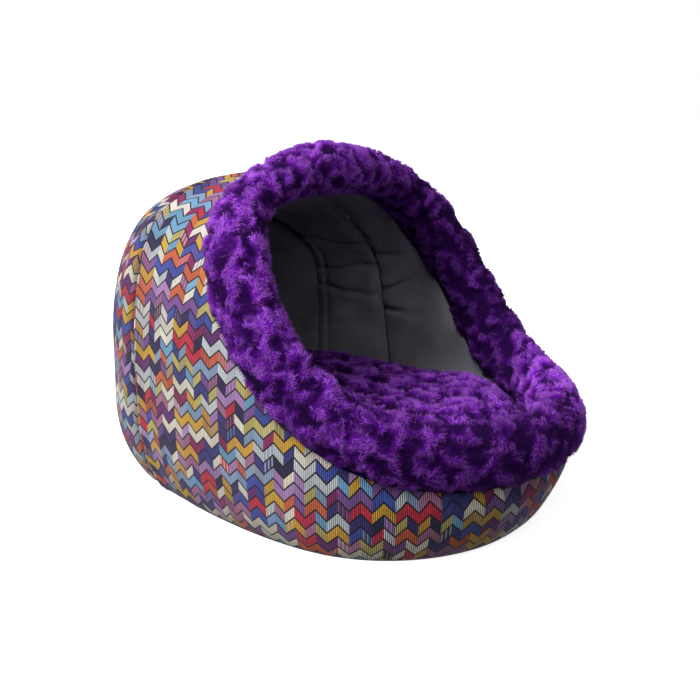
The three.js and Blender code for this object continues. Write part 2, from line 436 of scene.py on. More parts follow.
class ClothMap:
    """Lays the cloth on the outer wall: how far across and how far up the cloth each point is."""

    STEPS = 160
    SECTIONS = 48
    BACK_SECTIONS = 64
    LOWEST_SLOPE = -1.1
    SIDE_DEPTH = 0.15
    BACK_TURN = 1.1
    BACK_AXIS = -0.15
    BELOW_LAST = 1.001

    def __init__(self, dome: Dome, foot_level: float) -> None:
        """Measures arcs of the dome in three families of upright sections.

        Args:
            dome: form of the wall.
            foot_level: height at which the cloth starts.
        """
        self.dome, self.foot = dome, foot_level - dome.widest_height
        self.slope = np.linspace(self.LOWEST_SLOPE, QUARTER, self.STEPS)
        self.front_turn = np.linspace(0, QUARTER, self.SECTIONS)
        self.depth = np.linspace(0, self.SIDE_DEPTH, self.SECTIONS)
        self.back_turn = np.linspace(0, self.BACK_TURN, self.BACK_SECTIONS)
        flat = np.stack((np.sin(self.front_turn), -np.cos(self.front_turn)), -1)
        self.front = self._arcs(np.zeros((self.SECTIONS, 3)), flat)
        starts = np.stack((self.depth * 0, self.depth, self.depth * 0), -1)
        self.side = self._arcs(starts, np.tile((1.0, 0.0), (self.SECTIONS, 1)))
        flat = np.stack((np.sin(self.back_turn), np.cos(self.back_turn)), -1)
        self.back = self._arcs(np.tile((0.0, self.BACK_AXIS, 0.0), (self.BACK_SECTIONS, 1)), flat)

    def _arcs(self, start: Array, flat: Array) -> tuple[Array, Array]:
        """Arc lengths in a family of sections.

        Args:
            start: centre of each section.
            flat: level direction of each section.

        Returns:
            Lengths up each section from the foot, and along the widest outline from the first section.
        """
        level = np.concatenate((flat, flat[:, :1] * 0), -1)
        upright = np.sin(self.slope)[:, None] * np.array((0, 0, 1.0))
        way = level[:, None] * np.cos(self.slope)[:, None] + upright
        place = self.dome.hit(start[:, None] + way * 0, way)
        steps = lengths(place, 1)
        length = np.concatenate((steps[:, :1] * 0, np.cumsum(steps, 1)), 1)
        foot = np.array([np.interp(self.foot, z, run) for z, run in zip(place[..., 2], length)])
        steps = lengths(self.dome.hit(start, level), 0)
        return length - foot[:, None], np.concatenate(((0.0,), np.cumsum(steps)))

    def _read(self, arcs: tuple[Array, Array], keys: Array, key: Array, slope: Array) -> tuple[Array, Array]:
        """Reads lengths between the sections of a family.

        Args:
            arcs: the family's lengths.
            keys: where its sections stand.
            key: where each point stands among them.
            slope: slope of each point in its section.

        Returns:
            Lengths across and up the cloth.
        """
        table, outline = arcs
        row = np.clip(np.interp(key, keys, np.arange(len(keys))), 0, len(keys) - self.BELOW_LAST)
        column = np.interp(slope, self.slope, np.arange(self.STEPS))
        column = np.clip(column, 0, self.STEPS - self.BELOW_LAST)
        i, j = row.astype(int), column.astype(int)
        a, b = row - i, column - j
        near = table[i, j] * (1 - b) + table[i, j + 1] * b
        far = table[i + 1, j] * (1 - b) + table[i + 1, j + 1] * b
        return np.interp(key, keys, outline), near * (1 - a) + far * a

    def wrap(self, place: Array, side: Array) -> Array:
        """Places on the cloth of the wall and roof.

        Args:
            place: points from the dome's centre.
            side: -1 or 1 for the half of the bed that each belongs to.

        Returns:
            Lengths across and up the cloth, last axis of two.
        """
        x, y, z = np.abs(place[..., 0]), place[..., 1], place[..., 2]
        turn, slope = np.arctan2(x, -np.minimum(y, 0)), np.arctan2(z, np.hypot(x, y))
        across, up = self._read(self.front, self.front_turn, turn, slope)
        across_side, up_side = self._read(self.side, self.depth, y, np.arctan2(z, x))
        behind, corner = y > 0, self.front[1][-1]
        across = side * np.where(behind, corner + across_side, across)
        return np.stack((across, np.where(behind, up_side, up)), -1)

    def rear(self, place: Array) -> Array:
        """Places on the cloth of the back panel.

        Args:
            place: points from the dome's centre.

        Returns:
            Lengths across and up the cloth, last axis of two.
        """
        x, y, z = place[..., 0], place[..., 1] - self.BACK_AXIS, place[..., 2]
        turn, slope = np.arctan2(np.abs(x), y), np.arctan2(z, np.hypot(x, y))
        across, up = self._read(self.back, self.back_turn, turn, slope)
        return np.stack((np.sign(x) * across, up), -1)


# Bench tools


class Bench:
    """Steps that shape a piece with Blender's own tools."""

    MERGE = 2e-5

    @staticmethod
    def start(name: str, primitive: Callable[..., Any], **sizes: Any) -> Piece:
        """Adds a primitive, with nothing else selected.

        Args:
            name: name of the piece.
            primitive: operator that adds it.
            sizes: settings of the operator.

        Returns:
            The new piece.
        """
        bpy.ops.object.select_all(action="DESELECT")
        primitive(**sizes)
        piece = bpy.context.object
        piece.name = piece.data.name = name
        return piece

    @staticmethod
    def hold(name: str, data: bpy.types.ID) -> Piece:
        """Adds an object that holds a mesh, a lamp or a lens.

        Args:
            name: name of the object.
            data: what it holds.

        Returns:
            The new object.
        """
        holder = bpy.data.objects.new(name, data)
        bpy.context.scene.collection.objects.link(holder)
        return holder

    @staticmethod
    def take(piece: Piece) -> None:
        """Makes a piece the only one selected.

        Args:
            piece: the piece.
        """
        bpy.ops.object.select_all(action="DESELECT")
        piece.select_set(True)
        bpy.context.view_layer.objects.active = piece

    @staticmethod
    @contextmanager
    def editing(piece: Piece) -> Iterator[None]:
        """Takes a piece into edit mode with all of it selected, and out again.

        Args:
            piece: the piece.

        Returns:
            Nothing, for as long as the piece is in edit mode.
        """
        Bench.take(piece)
        bpy.ops.object.mode_set(mode="EDIT")
        bpy.ops.mesh.select_all(action="SELECT")
        yield
        bpy.ops.object.mode_set(mode="OBJECT")

    @staticmethod
    def grid(name: str, points: Array, cloth: Array, fold: Array) -> Piece:
        """Adds a grid and moves its points onto a form.

        Args:
            name: name of the piece.
            points: rows by columns of points in the part's frame.
            cloth: place of each point on the flat cloth.
            fold: how much painted shade each point gets in the lining's folds and beside the wall's seam,
                from 0 to 1.

        Returns:
            The piece, with coinciding points merged and its faces pointing away from the bed's middle.
        """
        rows, columns = points.shape[:2]
        add = bpy.ops.mesh.primitive_grid_add
        piece = Bench.start(name, add, x_subdivisions=columns - 1, y_subdivisions=rows - 1, size=1.0)
        piece.data.uv_layers[0].name = "cloth"
        Bench.move(piece, points)
        Bench.lay(piece, cloth.reshape(-1, 2))
        Bench.note(piece, "fold", fold)
        Bench.merge(piece)
        return piece

    @staticmethod
    def merge(piece: Piece) -> None:
        """Merges coinciding points and turns the faces away from the bed's middle.

        Args:
            piece: the piece.
        """
        with Bench.editing(piece):
            bpy.ops.mesh.remove_doubles(threshold=Bench.MERGE)
            bpy.ops.mesh.normals_make_consistent(inside=False)
        places, ways = Bench.faces(piece)
        if np.sum((places - Dome().centre) * ways) < 0:
            with Bench.editing(piece):
                bpy.ops.mesh.flip_normals()

    @staticmethod
    def read(items: Any, key: str, size: int = 3, kind: type = float) -> Array:
        """Reads a value of each item of a mesh.

        Args:
            items: points, faces or corners of the mesh.
            key: name of the value.
            size: how many numbers it has.
            kind: kind of number.

        Returns:
            One row of numbers for each item.
        """
        values = np.empty(len(items) * size, kind)
        items.foreach_get(key, values)
        return values.reshape(-1, size)

    @staticmethod
    def faces(piece: Piece) -> tuple[Array, Array]:
        """Middles and normals of a piece's faces, the normals scaled by area."""
        faces = piece.data.polygons
        return Bench.read(faces, "center"), Bench.read(faces, "normal") * Bench.read(faces, "area", 1)

    @staticmethod
    def points(piece: Piece) -> Array:
        """Points of a piece's mesh."""
        return Bench.read(piece.data.vertices, "co")

    @staticmethod
    def normals(piece: Piece) -> Array:
        """Normals at the points of a piece's mesh."""
        return Bench.read(piece.data.vertices, "normal")

    @staticmethod
    def move(piece: Piece, points: Array) -> None:
        """Moves the points of a piece's mesh."""
        piece.data.vertices.foreach_set("co", points.astype(np.float32).ravel())
        piece.data.update()

    @staticmethod
    def lay(piece: Piece, cloth: Array) -> None:
        """Notes where each point of a piece lies on the flat cloth."""
        corner = Bench.read(piece.data.loops, "vertex_index", 1, np.int32)[:, 0]
        piece.data.uv_layers["cloth"].data.foreach_set("uv", cloth[corner].astype(np.float32).ravel())

    @staticmethod
    def note(piece: Piece, key: str, values: Array) -> None:
        """Notes a number at each point of a piece's mesh, for its material."""
        noted = piece.data.attributes.new(key, "FLOAT", "POINT")
        noted.data.foreach_set("value", values.astype(np.float32).ravel())

    @staticmethod
    def thicken(piece: Piece, thickness: float, inwards: bool = True) -> None:
        """Gives a sheet its thickness.

        Args:
            piece: open sheet whose faces point away from the bed's middle.
            thickness: how thick it gets.
            inwards: whether the new side lies towards the bed's middle.
        """
        Bench.take(piece)
        wall = piece.modifiers.new("thickness", "SOLIDIFY")
        wall.thickness = thickness
        wall.offset = -1.0 if inwards else 1.0
        wall.use_even_offset = False
        bpy.ops.object.modifier_apply(modifier=wall.name)

    @staticmethod
    def dress(piece: Piece, material: Material, slot: Slot, node: str) -> None:
        """Gives a piece its material and its place in the part.

        Args:
            piece: finished piece.
            material: its material.
            slot: not used.
            node: node of the part that it stands for.
        """
        piece.data.materials.clear()
        piece.data.materials.append(material)
        piece.data.polygons.foreach_set("use_smooth", np.ones(len(piece.data.polygons), bool))
        piece.data.update()
        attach(piece, "root")
        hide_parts(node)
        triangles = sum(len(face.vertices) - 2 for face in piece.data.polygons)
        LOG.info("%s: %d triangles", piece.name, triangles)

    @staticmethod
    def sheet(piece: Piece, flat: Pair, hold: Hold, rests_on: str) -> None:
        """Logs the area of a sheet of cloth.

        Args:
            piece: closed thin sheet.
            flat: not used.
            hold: not used.
            rests_on: not used.
        """
        area = float(np.linalg.norm(Bench.faces(piece)[1], axis=-1).sum() / 2)
        LOG.info("%s: cut area %.4f square metres", piece.name, area)


# Finishes


class Nodes:
    """A material's nodes, with short calls that add and link them."""

    STEP_INPUTS = ("Value", "From Min", "From Max", "To Min", "To Max")

    def __init__(self, name: str, roughness: float, sheen: float = 0.0, gloss: float = 0.2) -> None:
        """Starts a material with its shader.

        Args:
            name: name of the material.
            roughness: roughness of the surface.
            sheen: strength of its sheen.
            gloss: strength of its shine.
        """
        self.material = bpy.data.materials.new(name)
        self.material.use_nodes = True
        self.tree = self.material.node_tree
        self.shader = self.tree.nodes["Principled BSDF"]
        self.shader.inputs["Roughness"].default_value = roughness
        self.shader.inputs["Specular IOR Level"].default_value = gloss
        self.shader.inputs["Sheen Weight"].default_value = sheen
        self.shader.inputs["Sheen Roughness"].default_value = 0.5

    def add(self, kind: str, inputs: dict[Any, Any] | None = None, **settings: Any) -> bpy.types.Node:
        """Adds a node.

        Args:
            kind: kind of node.
            inputs: what goes into its inputs, by name or number.
            settings: its settings.

        Returns:
            The node.
        """
        node = self.tree.nodes.new(f"ShaderNode{kind}")
        for key, value in settings.items():
            setattr(node, key, value)
        for key, value in (inputs or {}).items():
            self.put(node.inputs[key], value)
        return node

    def put(self, socket: Socket, value: Any) -> None:
        """Links a socket to another, or sets its value.

        Args:
            socket: the socket.
            value: another socket, a number or a colour.
        """
        if isinstance(value, Socket):
            self.tree.links.new(value, socket)
        elif isinstance(value, tuple) and len(value) == 3 and socket.type == "RGBA":
            socket.default_value = (*value, 1.0)
        else:
            socket.default_value = value

    def math(self, operation: str, *values: Any) -> Socket:
        """Adds a sum of numbers and sockets."""
        return self.add("Math", dict(enumerate(values)), operation=operation).outputs[0]

    def step(self, value: Any, low: float, high: float, start: float = 0.0, end: float = 1.0) -> Socket:
        """Adds a soft step from start at low to end at high."""
        inputs = dict(zip(self.STEP_INPUTS, (value, low, high, start, end)))
        return self.add("MapRange", inputs, interpolation_type="SMOOTHSTEP").outputs["Result"]

    def mix(self, share: Any, first: Any, second: Any) -> Socket:
        """Adds a mix of two colours."""
        return self.add("Mix", {0: share, 6: first, 7: second}, data_type="RGBA").outputs[2]

    def dice(self, first: Any, second: Any, third: float) -> Socket:
        """Adds a random number from 0 to 1 that is the same for the same three numbers."""
        place = self.add("CombineXYZ", {0: first, 1: second, 2: third}).outputs[0]
        return self.add("TexWhiteNoise", {"Vector": place}, noise_dimensions="3D").outputs["Value"]

    def noise(self, scale: float, detail: float = 2.0) -> Socket:
        """Adds a soft noise from 0 to 1 on the piece's own coordinates."""
        inputs = {"Vector": self.place(), "Scale": scale, "Detail": detail}
        return self.add("TexNoise", inputs).outputs[0]

    def ramp(self, value: Any, stops: list[tuple[float, Colour]], constant: bool = False) -> Socket:
        """Adds a ramp of colours.

        Args:
            value: where on the ramp.
            stops: places and colours of its stops.
            constant: whether the colour stays the same from stop to stop.

        Returns:
            The colour.
        """
        node = self.add("ValToRGB")
        node.color_ramp.interpolation = "CONSTANT" if constant else "LINEAR"
        while len(node.color_ramp.elements) < len(stops):
            node.color_ramp.elements.new(1.0)
        for element, (place, colour) in zip(node.color_ramp.elements, stops):
            element.position = place
            element.color = (*colour, 1.0)
        self.put(node.inputs[0], value)
        return node.outputs[0]

    def place(self) -> Socket:
        """Adds the piece's own coordinates."""
        return self.add("TexCoord").outputs["Object"]

    def cloth(self) -> Socket:
        """Adds the place on the flat cloth."""
        return self.add("UVMap", uv_map="cloth").outputs[0]

    def noted(self, key: str) -> Socket:
        """Adds a number that was noted at each point."""
        return self.add("Attribute", attribute_name=key).outputs["Fac"]

    def split(self, vector: Socket) -> list[Socket]:
        """Splits a vector into its three numbers."""
        return list(self.add("SeparateXYZ", {0: vector}).outputs)

    def bump(self, height: Any, distance: float, strength: float) -> None:
        """Raises the surface by a height."""
        inputs = {"Height": height, "Distance": distance, "Strength": strength}
        self.put(self.shader.inputs["Normal"], self.add("Bump", inputs).outputs[0])

    def colour(self, value: Any) -> Material:
        """Sets the surface's colour and hands over the material."""
        self.put(self.shader.inputs["Base Color"], value)
        return self.material


def shade(red: int, green: int, blue: int) -> Colour:
    """Linear colour of a shade given in steps of 255."""
    parts = (c / 255 for c in (red, green, blue))
    return tuple(c / 12.92 if c < 0.04045 else ((c + 0.055) / 1.055) ** 2.4 for c in parts)


class Choice(Enum):
    """Choices that chance makes in the zigzag cloth, each with a number of its own."""

    LENGTH = 3.7
    SHIFT = 9.1
    ALONE = 7.3
    RUN_YARN = 13.3
    LEG_YARN = 23.1
    SECOND_YARN = 41.7
    TWO_YARNS = 57.3
    DULL = 77.7


@dataclass(frozen=True)
class ZigzagCloth:
    """Ribbed cloth with rows of zigzag in many yarns, each row outlined in a dark one."""

    period: float = 0.0193
    row: float = 0.0104
    rise: float = 0.0089
    rib: float = 0.0193 / 11
    outline: float = 0.00066
    shortest_run: float = 2.0
    run_choices: float = 3.0
    shift_choices: float = 5.0
    in_run_share: float = 0.82
    one_yarn_share: float = 0.8
    second_share: float = 0.45
    dullest: float = 0.25
    fleck: float = 900.0
    cloud: float = 28.0
    rib_gap: Pair = (0.22, 0.38)
    # Depths over which the front turns to the side: the painted gap shade fades out and the painted sheen
    # comes in
    front_to_side: Pair = (-0.17, -0.02)
    # Painted shade over the front of the wall, fading out towards the right
    front_shade_depths: Pair = (-0.2, -0.1)
    front_shade_edge: float = 0.08
    # Dark yarn of the outlines, also the colour of the painted shade in the rib gaps, at the front and beside
    # the seam
    outline_and_shade_colour: Colour = shade(14, 14, 20)
    # Pale colour of the painted sheen on the side and back
    painted_sheen_colour: Colour = shade(130, 112, 124)
    yarns: tuple[Colour, ...] = (
        shade(236, 231, 216), shade(60, 60, 132), shade(214, 170, 58), shade(104, 44, 112),
        shade(206, 50, 68), shade(38, 38, 78), shade(176, 136, 190), shade(142, 166, 198),
        shade(226, 220, 204), shade(146, 40, 96), shade(66, 84, 168), shade(192, 180, 104),
        shade(172, 116, 148), shade(202, 208, 212), shade(118, 172, 208), shade(124, 84, 150),
        shade(216, 164, 66), shade(210, 104, 64), shade(56, 52, 108),
    )

    def material(self) -> Material:
        """Builds the cloth's material on its own places across and up.

        Returns:
            The material.
        """
        n = Nodes("zigzag_cloth", 0.88, 0.08, gloss=0.1)
        across, up, _ = n.split(n.cloth())
        right, back, _ = n.split(n.place())
        legs, ribs = n.math("DIVIDE", across, self.period / 2), n.math("DIVIDE", across, self.rib)
        peak = n.math("MULTIPLY", n.math("PINGPONG", legs, 1.0), self.rise / self.row)
        height = n.math("ADD", n.math("DIVIDE", up, self.row), peak)
        yarn = self._yarn(n, n.math("FLOOR", height), n.math("FLOOR", legs), n.math("FLOOR", ribs))
        gap = n.step(n.math("ABSOLUTE", n.math("SUBTRACT", n.math("FRACT", ribs), 0.5)), *self.rib_gap)
        # Painted shade in the gaps between the ribs, darkest at the front and lighter towards the side
        painted_gap_shade = n.math("MULTIPLY", gap, n.step(back, *self.front_to_side, 0.97, 0.38))
        yarn = n.mix(painted_gap_shade, yarn, self.outline_and_shade_colour)
        within = n.math("FRACT", height)
        near = n.math("MULTIPLY", n.math("MINIMUM", within, n.math("SUBTRACT", 1.0, within)), self.row)
        line = n.step(near, self.outline * 0.9, self.outline * 1.9, 1.0, 0.0)
        relief = n.math("SUBTRACT", n.math("SUBTRACT", 1.0, gap), n.math("MULTIPLY", line, 0.6))
        n.bump(relief, 0.0004, 0.5)
        fold = n.noted("fold")
        # Painted shade over the front, fading out towards the right, together with the painted fold shade
        # beside the seam
        left = n.step(right, 0.0, self.front_shade_edge, 1.0, 0.0)
        painted_front_shade = n.math("MULTIPLY", n.step(back, *self.front_shade_depths, 0.22, 0.0), left)
        painted_front_shade = n.math("MAXIMUM", painted_front_shade, fold)
        cloth = n.mix(painted_front_shade, n.mix(line, yarn, self.outline_and_shade_colour), self.outline_and_shade_colour)
        # Painted sheen: the side and back are washed towards a pale colour, except where the painted fold
        # shade lies
        painted_sheen = n.step(back, *self.front_to_side, 0.0, 0.08)
        painted_sheen = n.math("MULTIPLY", painted_sheen, n.math("SUBTRACT", 1.0, fold))
        return n.colour(n.mix(painted_sheen, cloth, self.painted_sheen_colour))

    def _yarn(self, n: Nodes, row: Socket, leg: Socket, rib: Socket) -> Socket:
        """Picks the yarn of each leg of the zigzag: alike in short runs, and here and there in two yarns.

        Args:
            n: the material's nodes.
            row: number of the row.
            leg: number of the leg in its row.
            rib: number of the rib.

        Returns:
            The yarn's colour, with flecks and clouds.
        """

        def pick(choice: Choice, place: Any) -> Socket:
            return n.dice(row, place, choice.value)

        def whole(choice: Choice, choices: float) -> Socket:
            return n.math("FLOOR", n.math("MULTIPLY", n.dice(row, choice.value, 0.0), choices))

        legs_in_run = n.math("ADD", whole(Choice.LENGTH, self.run_choices), self.shortest_run)
        shifted = n.math("ADD", leg, whole(Choice.SHIFT, self.shift_choices))
        run = n.math("FLOOR", n.math("DIVIDE", shifted, legs_in_run))
        alone = n.math("GREATER_THAN", pick(Choice.ALONE, leg), self.in_run_share)
        first = n.mix(alone, pick(Choice.RUN_YARN, run), pick(Choice.LEG_YARN, leg))
        stops = [(i / len(self.yarns), yarn) for i, yarn in enumerate(self.yarns)]
        two = n.math("GREATER_THAN", pick(Choice.TWO_YARNS, leg), self.one_yarn_share)
        two = n.math("MULTIPLY", two, n.math("FLOORED_MODULO", rib, 2.0))
        second = n.ramp(pick(Choice.SECOND_YARN, leg), stops, True)
        yarn = n.mix(n.math("MULTIPLY", two, self.second_share), n.ramp(first, stops, True), second)
        yarn = n.mix(n.math("MULTIPLY", pick(Choice.DULL, leg), self.dullest), yarn, BLACK)
        for scale, low, share, depth in ((self.fleck, 0.3, 0.35, 0.5), (self.cloud, 0.35, 0.3, 0.4)):
            spot = n.step(n.noise(scale), low, 0.7, 0.0, share)
            yarn = n.mix(spot, yarn, n.mix(depth, yarn, BLACK))
        return yarn


@dataclass(frozen=True)
class PlushPile:
    """Purple pile, painted dark at its roots and lighter at its tips as self-shadow; its root colour is the
    painted shade in dents and on shaded sides.
    """

    # The root colour is painted shadow: it shows in the dents and on shaded sides
    root: Colour = (0.0066, 0.0001, 0.0212)
    body: Colour = (0.268, 0.022, 0.610)
    tip: Colour = (0.620, 0.205, 0.970)
    dullest: float = 0.97
    streak: float = 700.0

    def material(self) -> Material:
        """Builds the pile's material on each tuft's length and shade.

        Returns:
            The material.
        """
        n = Nodes("plush_pile", 0.8, gloss=0.05)
        # Painted self-shadow along each tuft: darker towards the root, lighter at the tip
        pile = n.ramp(n.noted("along"), [(0.0, self.root), (0.5, self.body), (1.0, self.tip)])
        # Where the tone is low the pile takes the root colour: painted shade in the dents and on shaded sides
        painted_shadow = n.mix(self.dullest, pile, self.root)
        streak = n.step(n.noise(self.streak), 0.2, 0.8, 0.7, 1.0)
        return n.colour(n.mix(n.math("MULTIPLY", n.noted("tone"), streak), painted_shadow, pile))


@dataclass(frozen=True)
class PlushBacking:
    """Knitted backing between the tufts, as dark as the painted shade of their roots, with painted light
    where the pile is high.
    """

    dark: Colour = (0.0060, 0.0001, 0.019)
    light: Colour = (0.017, 0.0005, 0.052)
    # Painted light on the ridges of the pile
    high: Colour = (0.134, 0.007, 0.335)
    fluff: float = 420.0
    painted_light_share: float = 0.8

    def material(self) -> Material:
        """Builds the backing's material.

        Returns:
            The material.
        """
        n = Nodes("plush_backing", 0.9, gloss=0.05)
        fluff = n.noise(self.fluff, 4.0)
        n.bump(fluff, 0.0015, 0.8)
        knit = n.ramp(fluff, [(0.3, self.dark), (0.7, self.light)])
        # Painted light on the ridges, by the noted tone
        return n.colour(n.mix(n.math("MULTIPLY", n.noted("tone"), self.painted_light_share), knit, self.high))


@dataclass(frozen=True)
class PlainWeave:
    """Plain cloth: crossing threads, with a soft mottle, and painted shade in its folds."""

    name: str
    dark: Colour
    light: Colour
    thread: float = 0.0009
    sheen: float = 0.25
    mottle: float = 22.0
    # How dark the painted shade in the folds gets
    fold_shade_strength: float = 0.93

    def material(self) -> Material:
        """Builds the cloth's material on the piece's own places across and up.

        Returns:
            The material.
        """
        n = Nodes(self.name, 0.78, self.sheen)
        across, up, _ = n.split(n.cloth())
        turn = math.tau / self.thread
        over, under = (n.math("SINE", n.math("MULTIPLY", place, turn)) for place in (across, up))
        weave = n.math("MULTIPLY", over, under)
        n.bump(weave, 0.0003, 0.35)
        cloth = n.ramp(n.noise(self.mottle, 4.0), [(0.3, self.dark), (0.7, self.light)])
        # Painted shade in the folds
        cloth = n.mix(n.math("MULTIPLY", n.noted("fold"), self.fold_shade_strength), cloth, BLACK)
        return n.colour(n.mix(n.step(weave, -1.0, 1.0, 0.35, 0.0), cloth, n.mix(0.5, cloth, BLACK)))


@dataclass(frozen=True)
class StudioFloor:
    """Matt pale floor."""

    pale: Colour = (0.90, 0.90, 0.90)
    glow: float = 0.85

    def material(self) -> Material:
        """Builds the floor's material, lit from below so that shadows stay pale.

        Returns:
            The material.
        """
        n = Nodes("studio_floor", 0.95)
        n.put(n.shader.inputs["Emission Color"], self.pale)
        n.put(n.shader.inputs["Emission Strength"], self.glow)
        n.material.cycles.emission_sampling = "NONE"
        return n.colour(self.pale)


# Sub-assemblies


@dataclass(frozen=True)
class WallPanel:
    """A panel of the outside: its piece and node, its rolled edge, its uneven padding and its seed."""

    name: str
    node: str
    hem: float
    uneven: Ripple
    seed: int


@dataclass
class OuterWall:
    """Padded zigzag cloth of the outside: a wall and roof panel, and a back panel behind a deep seam."""

    opening: Opening
    finish: ZigzagCloth = ZigzagCloth()
    seam: Seam = Seam(0.120)
    wrap: WallPanel = WallPanel("wall_cloth", "outer_wrap", 0.0026, Ripple(0.0011, 0.11, 2), 5)
    back: WallPanel = WallPanel("back_cloth", "outer_back", -0.0012, Ripple(0.0014, 0.12, 2), 15)
    columns: int = 280
    rows: int = 48
    back_columns: int = 120
    thickness: float = 0.0105
    seam_depth: float = 0.0085
    stitch_width: float = 0.0036
    stitch_power: float = 1.5
    hem_place: float = 0.0085
    hem_width: float = 0.006
    pucker: Ripple = Ripple(0.0013, 0.034)
    pucker_reach: float = 0.02
    roof: Pair = (0.2, 0.34)
    roof_ease: float = 0.55
    # Painted shade in the groove beside the seam, on the wrap and on the back panel, easing off on the back
    # panel under the roof
    fold_shade_strength: float = 0.9
    fold_shade_width: float = 0.0028
    back_fold_shade_strength: float = 0.92
    back_fold_shade_width: float = 0.0075
    back_fold_shade_ease: float = 0.6
    tuck: float = 0.0022
    tuck_uneven: Ripple = Ripple(0.0008, 0.06, 1)
    tuck_reach: float = 0.005
    corner: Swell = Swell(0.0022, 2.45, 0.45)
    corner_height: Swell = Swell(1.0, 0.12, 0.09)
    shoulder: Swell = Swell(0.0012, 2.3, 0.5)
    shoulder_height: Swell = Swell(1.0, 0.255, 0.05)
    roof_drop: float = 0.004
    roof_heights: Pair = (0.275, 0.32)
    rim_pinch: Pair = (0.004, 0.005)
    pinch_heights: Pair = (0.08, 0.18)
    pinch_shares: Pair = (0.78, 1.0)
    foot: float = 0.0013
    floor_gap: float = 0.0002

    def build(self) -> None:
        """Builds both panels."""
        material = self.finish.material()
        self.opening = replace(self.opening, foot_level=self.foot)
        cloth = ClothMap(self.opening.dome, self.foot)
        self._wrap(cloth, material)
        self._back(cloth, material)

    def _seam_lift(self, away: Array, up: Array, panel: WallPanel) -> Array:
        """Lift beside the seam: sunk at the stitches, with a rolled edge and puckers.

        Args:
            away: distance from the seam.
            up: length up the cloth.
            panel: the panel.

        Returns:
            The lift at each point.
        """
        stitch = hump(away, 0.0, self.stitch_width, self.stitch_power)
        lift = -self.seam_depth * stitch + panel.hem * hump(away, self.hem_place, self.hem_width)
        lift += self.pucker.at(up[..., None], panel.seed) * fade(away, self.pucker_reach)
        return lift * (1 - self.roof_ease * smooth(up, *self.roof))

    def _foot_lift(self, up: Array, across: Array, seed: int) -> Array:
        """Lift at the foot: tucked under to the base, a little unevenly."""
        tuck = self.tuck + self.tuck_uneven.at(across[..., None], seed)
        return -tuck * fade(np.maximum(up, 0), self.tuck_reach)

    def _settle(self, place: Array) -> Array:
        """Lift where the padding has settled: full rear corners and shoulders, flat roof, uneven foot.

        Args:
            place: points of the plain wall, from the dome's centre.

        Returns:
            The lift at each point.
        """
        turn = np.abs(np.arctan2(place[..., 0], -place[..., 1]))
        height = self.opening.dome.height(place)
        corner = self.corner.at(turn) * self.corner_height.at(height)
        shoulder = self.shoulder.at(turn) * self.shoulder_height.at(height)
        roof = self.roof_drop * smooth(height, *self.roof_heights)
        return corner + shoulder + self.opening.settled(place) - roof

    def _lift(self, plain: Array, laid: Array, away: Array, panel: WallPanel) -> Array:
        """Lift of a panel's padding.

        Args:
            plain: points of the plain wall, from the dome's centre.
            laid: their places on the cloth.
            away: their distances from the seam.
            panel: the panel.

        Returns:
            The lift at each point.
        """
        across, up = laid[..., 0], laid[..., 1]
        lift = self._seam_lift(away, up, panel)
        uneven = panel.uneven.at(plain, panel.seed)
        lift += self._foot_lift(up, across, panel.seed) + uneven + self._settle(plain)
        return lift

    def _finish(self, panel: WallPanel, points: Array, laid: Array, fold: Array, material: Material) -> None:
        """Makes a panel, gives it its padding and lays its foot flat on the floor.

        Args:
            panel: the panel.
            points: its points, from the dome's centre.
            laid: their places on the cloth.
            fold: how much painted shade each gets beside the seam.
            material: material of the cloth.
        """
        piece = Bench.grid(panel.name, points + self.opening.dome.centre, laid, fold)
        Bench.thicken(piece, self.thickness)
        Bench.move(piece, np.maximum(Bench.points(piece), (-1.0, -1.0, self.floor_gap)))
        Bench.dress(piece, material, Slot.ZIGZAG, panel.node)

    def _wrap(self, cloth: ClothMap, material: Material) -> None:
        """Builds the wall and roof panel, cut along the ridge of the roof and sewn up there.

        Args:
            cloth: how the cloth is laid.
            material: its material.
        """

        def sewn_up(values: Array) -> Array:
            return np.concatenate((values, values[:, :1]), 1)

        turn = QUARTER + np.arange(self.columns) * math.tau / self.columns
        face = WallFace(self.opening, self.opening.edge(turn), 0.0)
        start = face.crossing(Seam(self.seam.depth - self.opening.gap / 2))
        share = start + (1 - start) * np.linspace(0, 1, self.rows)[:, None]
        plain = face.at(share)
        side = np.where(np.arange(self.columns + 1) < self.columns / 2, -1.0, 1.0)
        laid = cloth.wrap(sewn_up(plain), side)
        away = np.maximum(-self.seam.behind(plain), 0)
        lift = self._lift(plain, laid[:, :-1], away, self.wrap)
        low, high = self.rim_pinch
        pinch = low + high * smooth(plain[..., 2], *self.pinch_heights)
        lift -= pinch * smooth(share, *self.pinch_shares)
        # Painted shade in the groove beside the seam
        fold = self.fold_shade_strength * hump(sewn_up(away), 0.0, self.fold_shade_width)
        self._finish(self.wrap, sewn_up(face.at(share, lift)), laid, fold, material)

    def _back(self, cloth: ClothMap, material: Material) -> None:
        """Builds the back panel, from its foot up to the seam.

        Args:
            cloth: how the cloth is laid.
            material: its material.
        """
        turn = np.arange(TURNS) * math.tau / TURNS
        seam = Seam(self.seam.depth + self.opening.gap / 2)
        end = WallFace(self.opening, self.opening.edge(turn), 0.0).crossing(seam)
        behind = np.flatnonzero(end > 0)
        pick = np.linspace(behind[0] - 1, behind[-1] + 1, self.back_columns)
        near = np.interp(pick, np.arange(TURNS), turn)
        face = WallFace(self.opening, self.opening.edge_near(near), 0.0)
        share = face.crossing(seam) * np.linspace(0, 1, self.rows)[:, None]
        plain = face.at(share)
        laid = cloth.rear(plain)
        away = np.maximum(self.seam.behind(plain), 0)
        lift = self._lift(plain, laid, away, self.back)
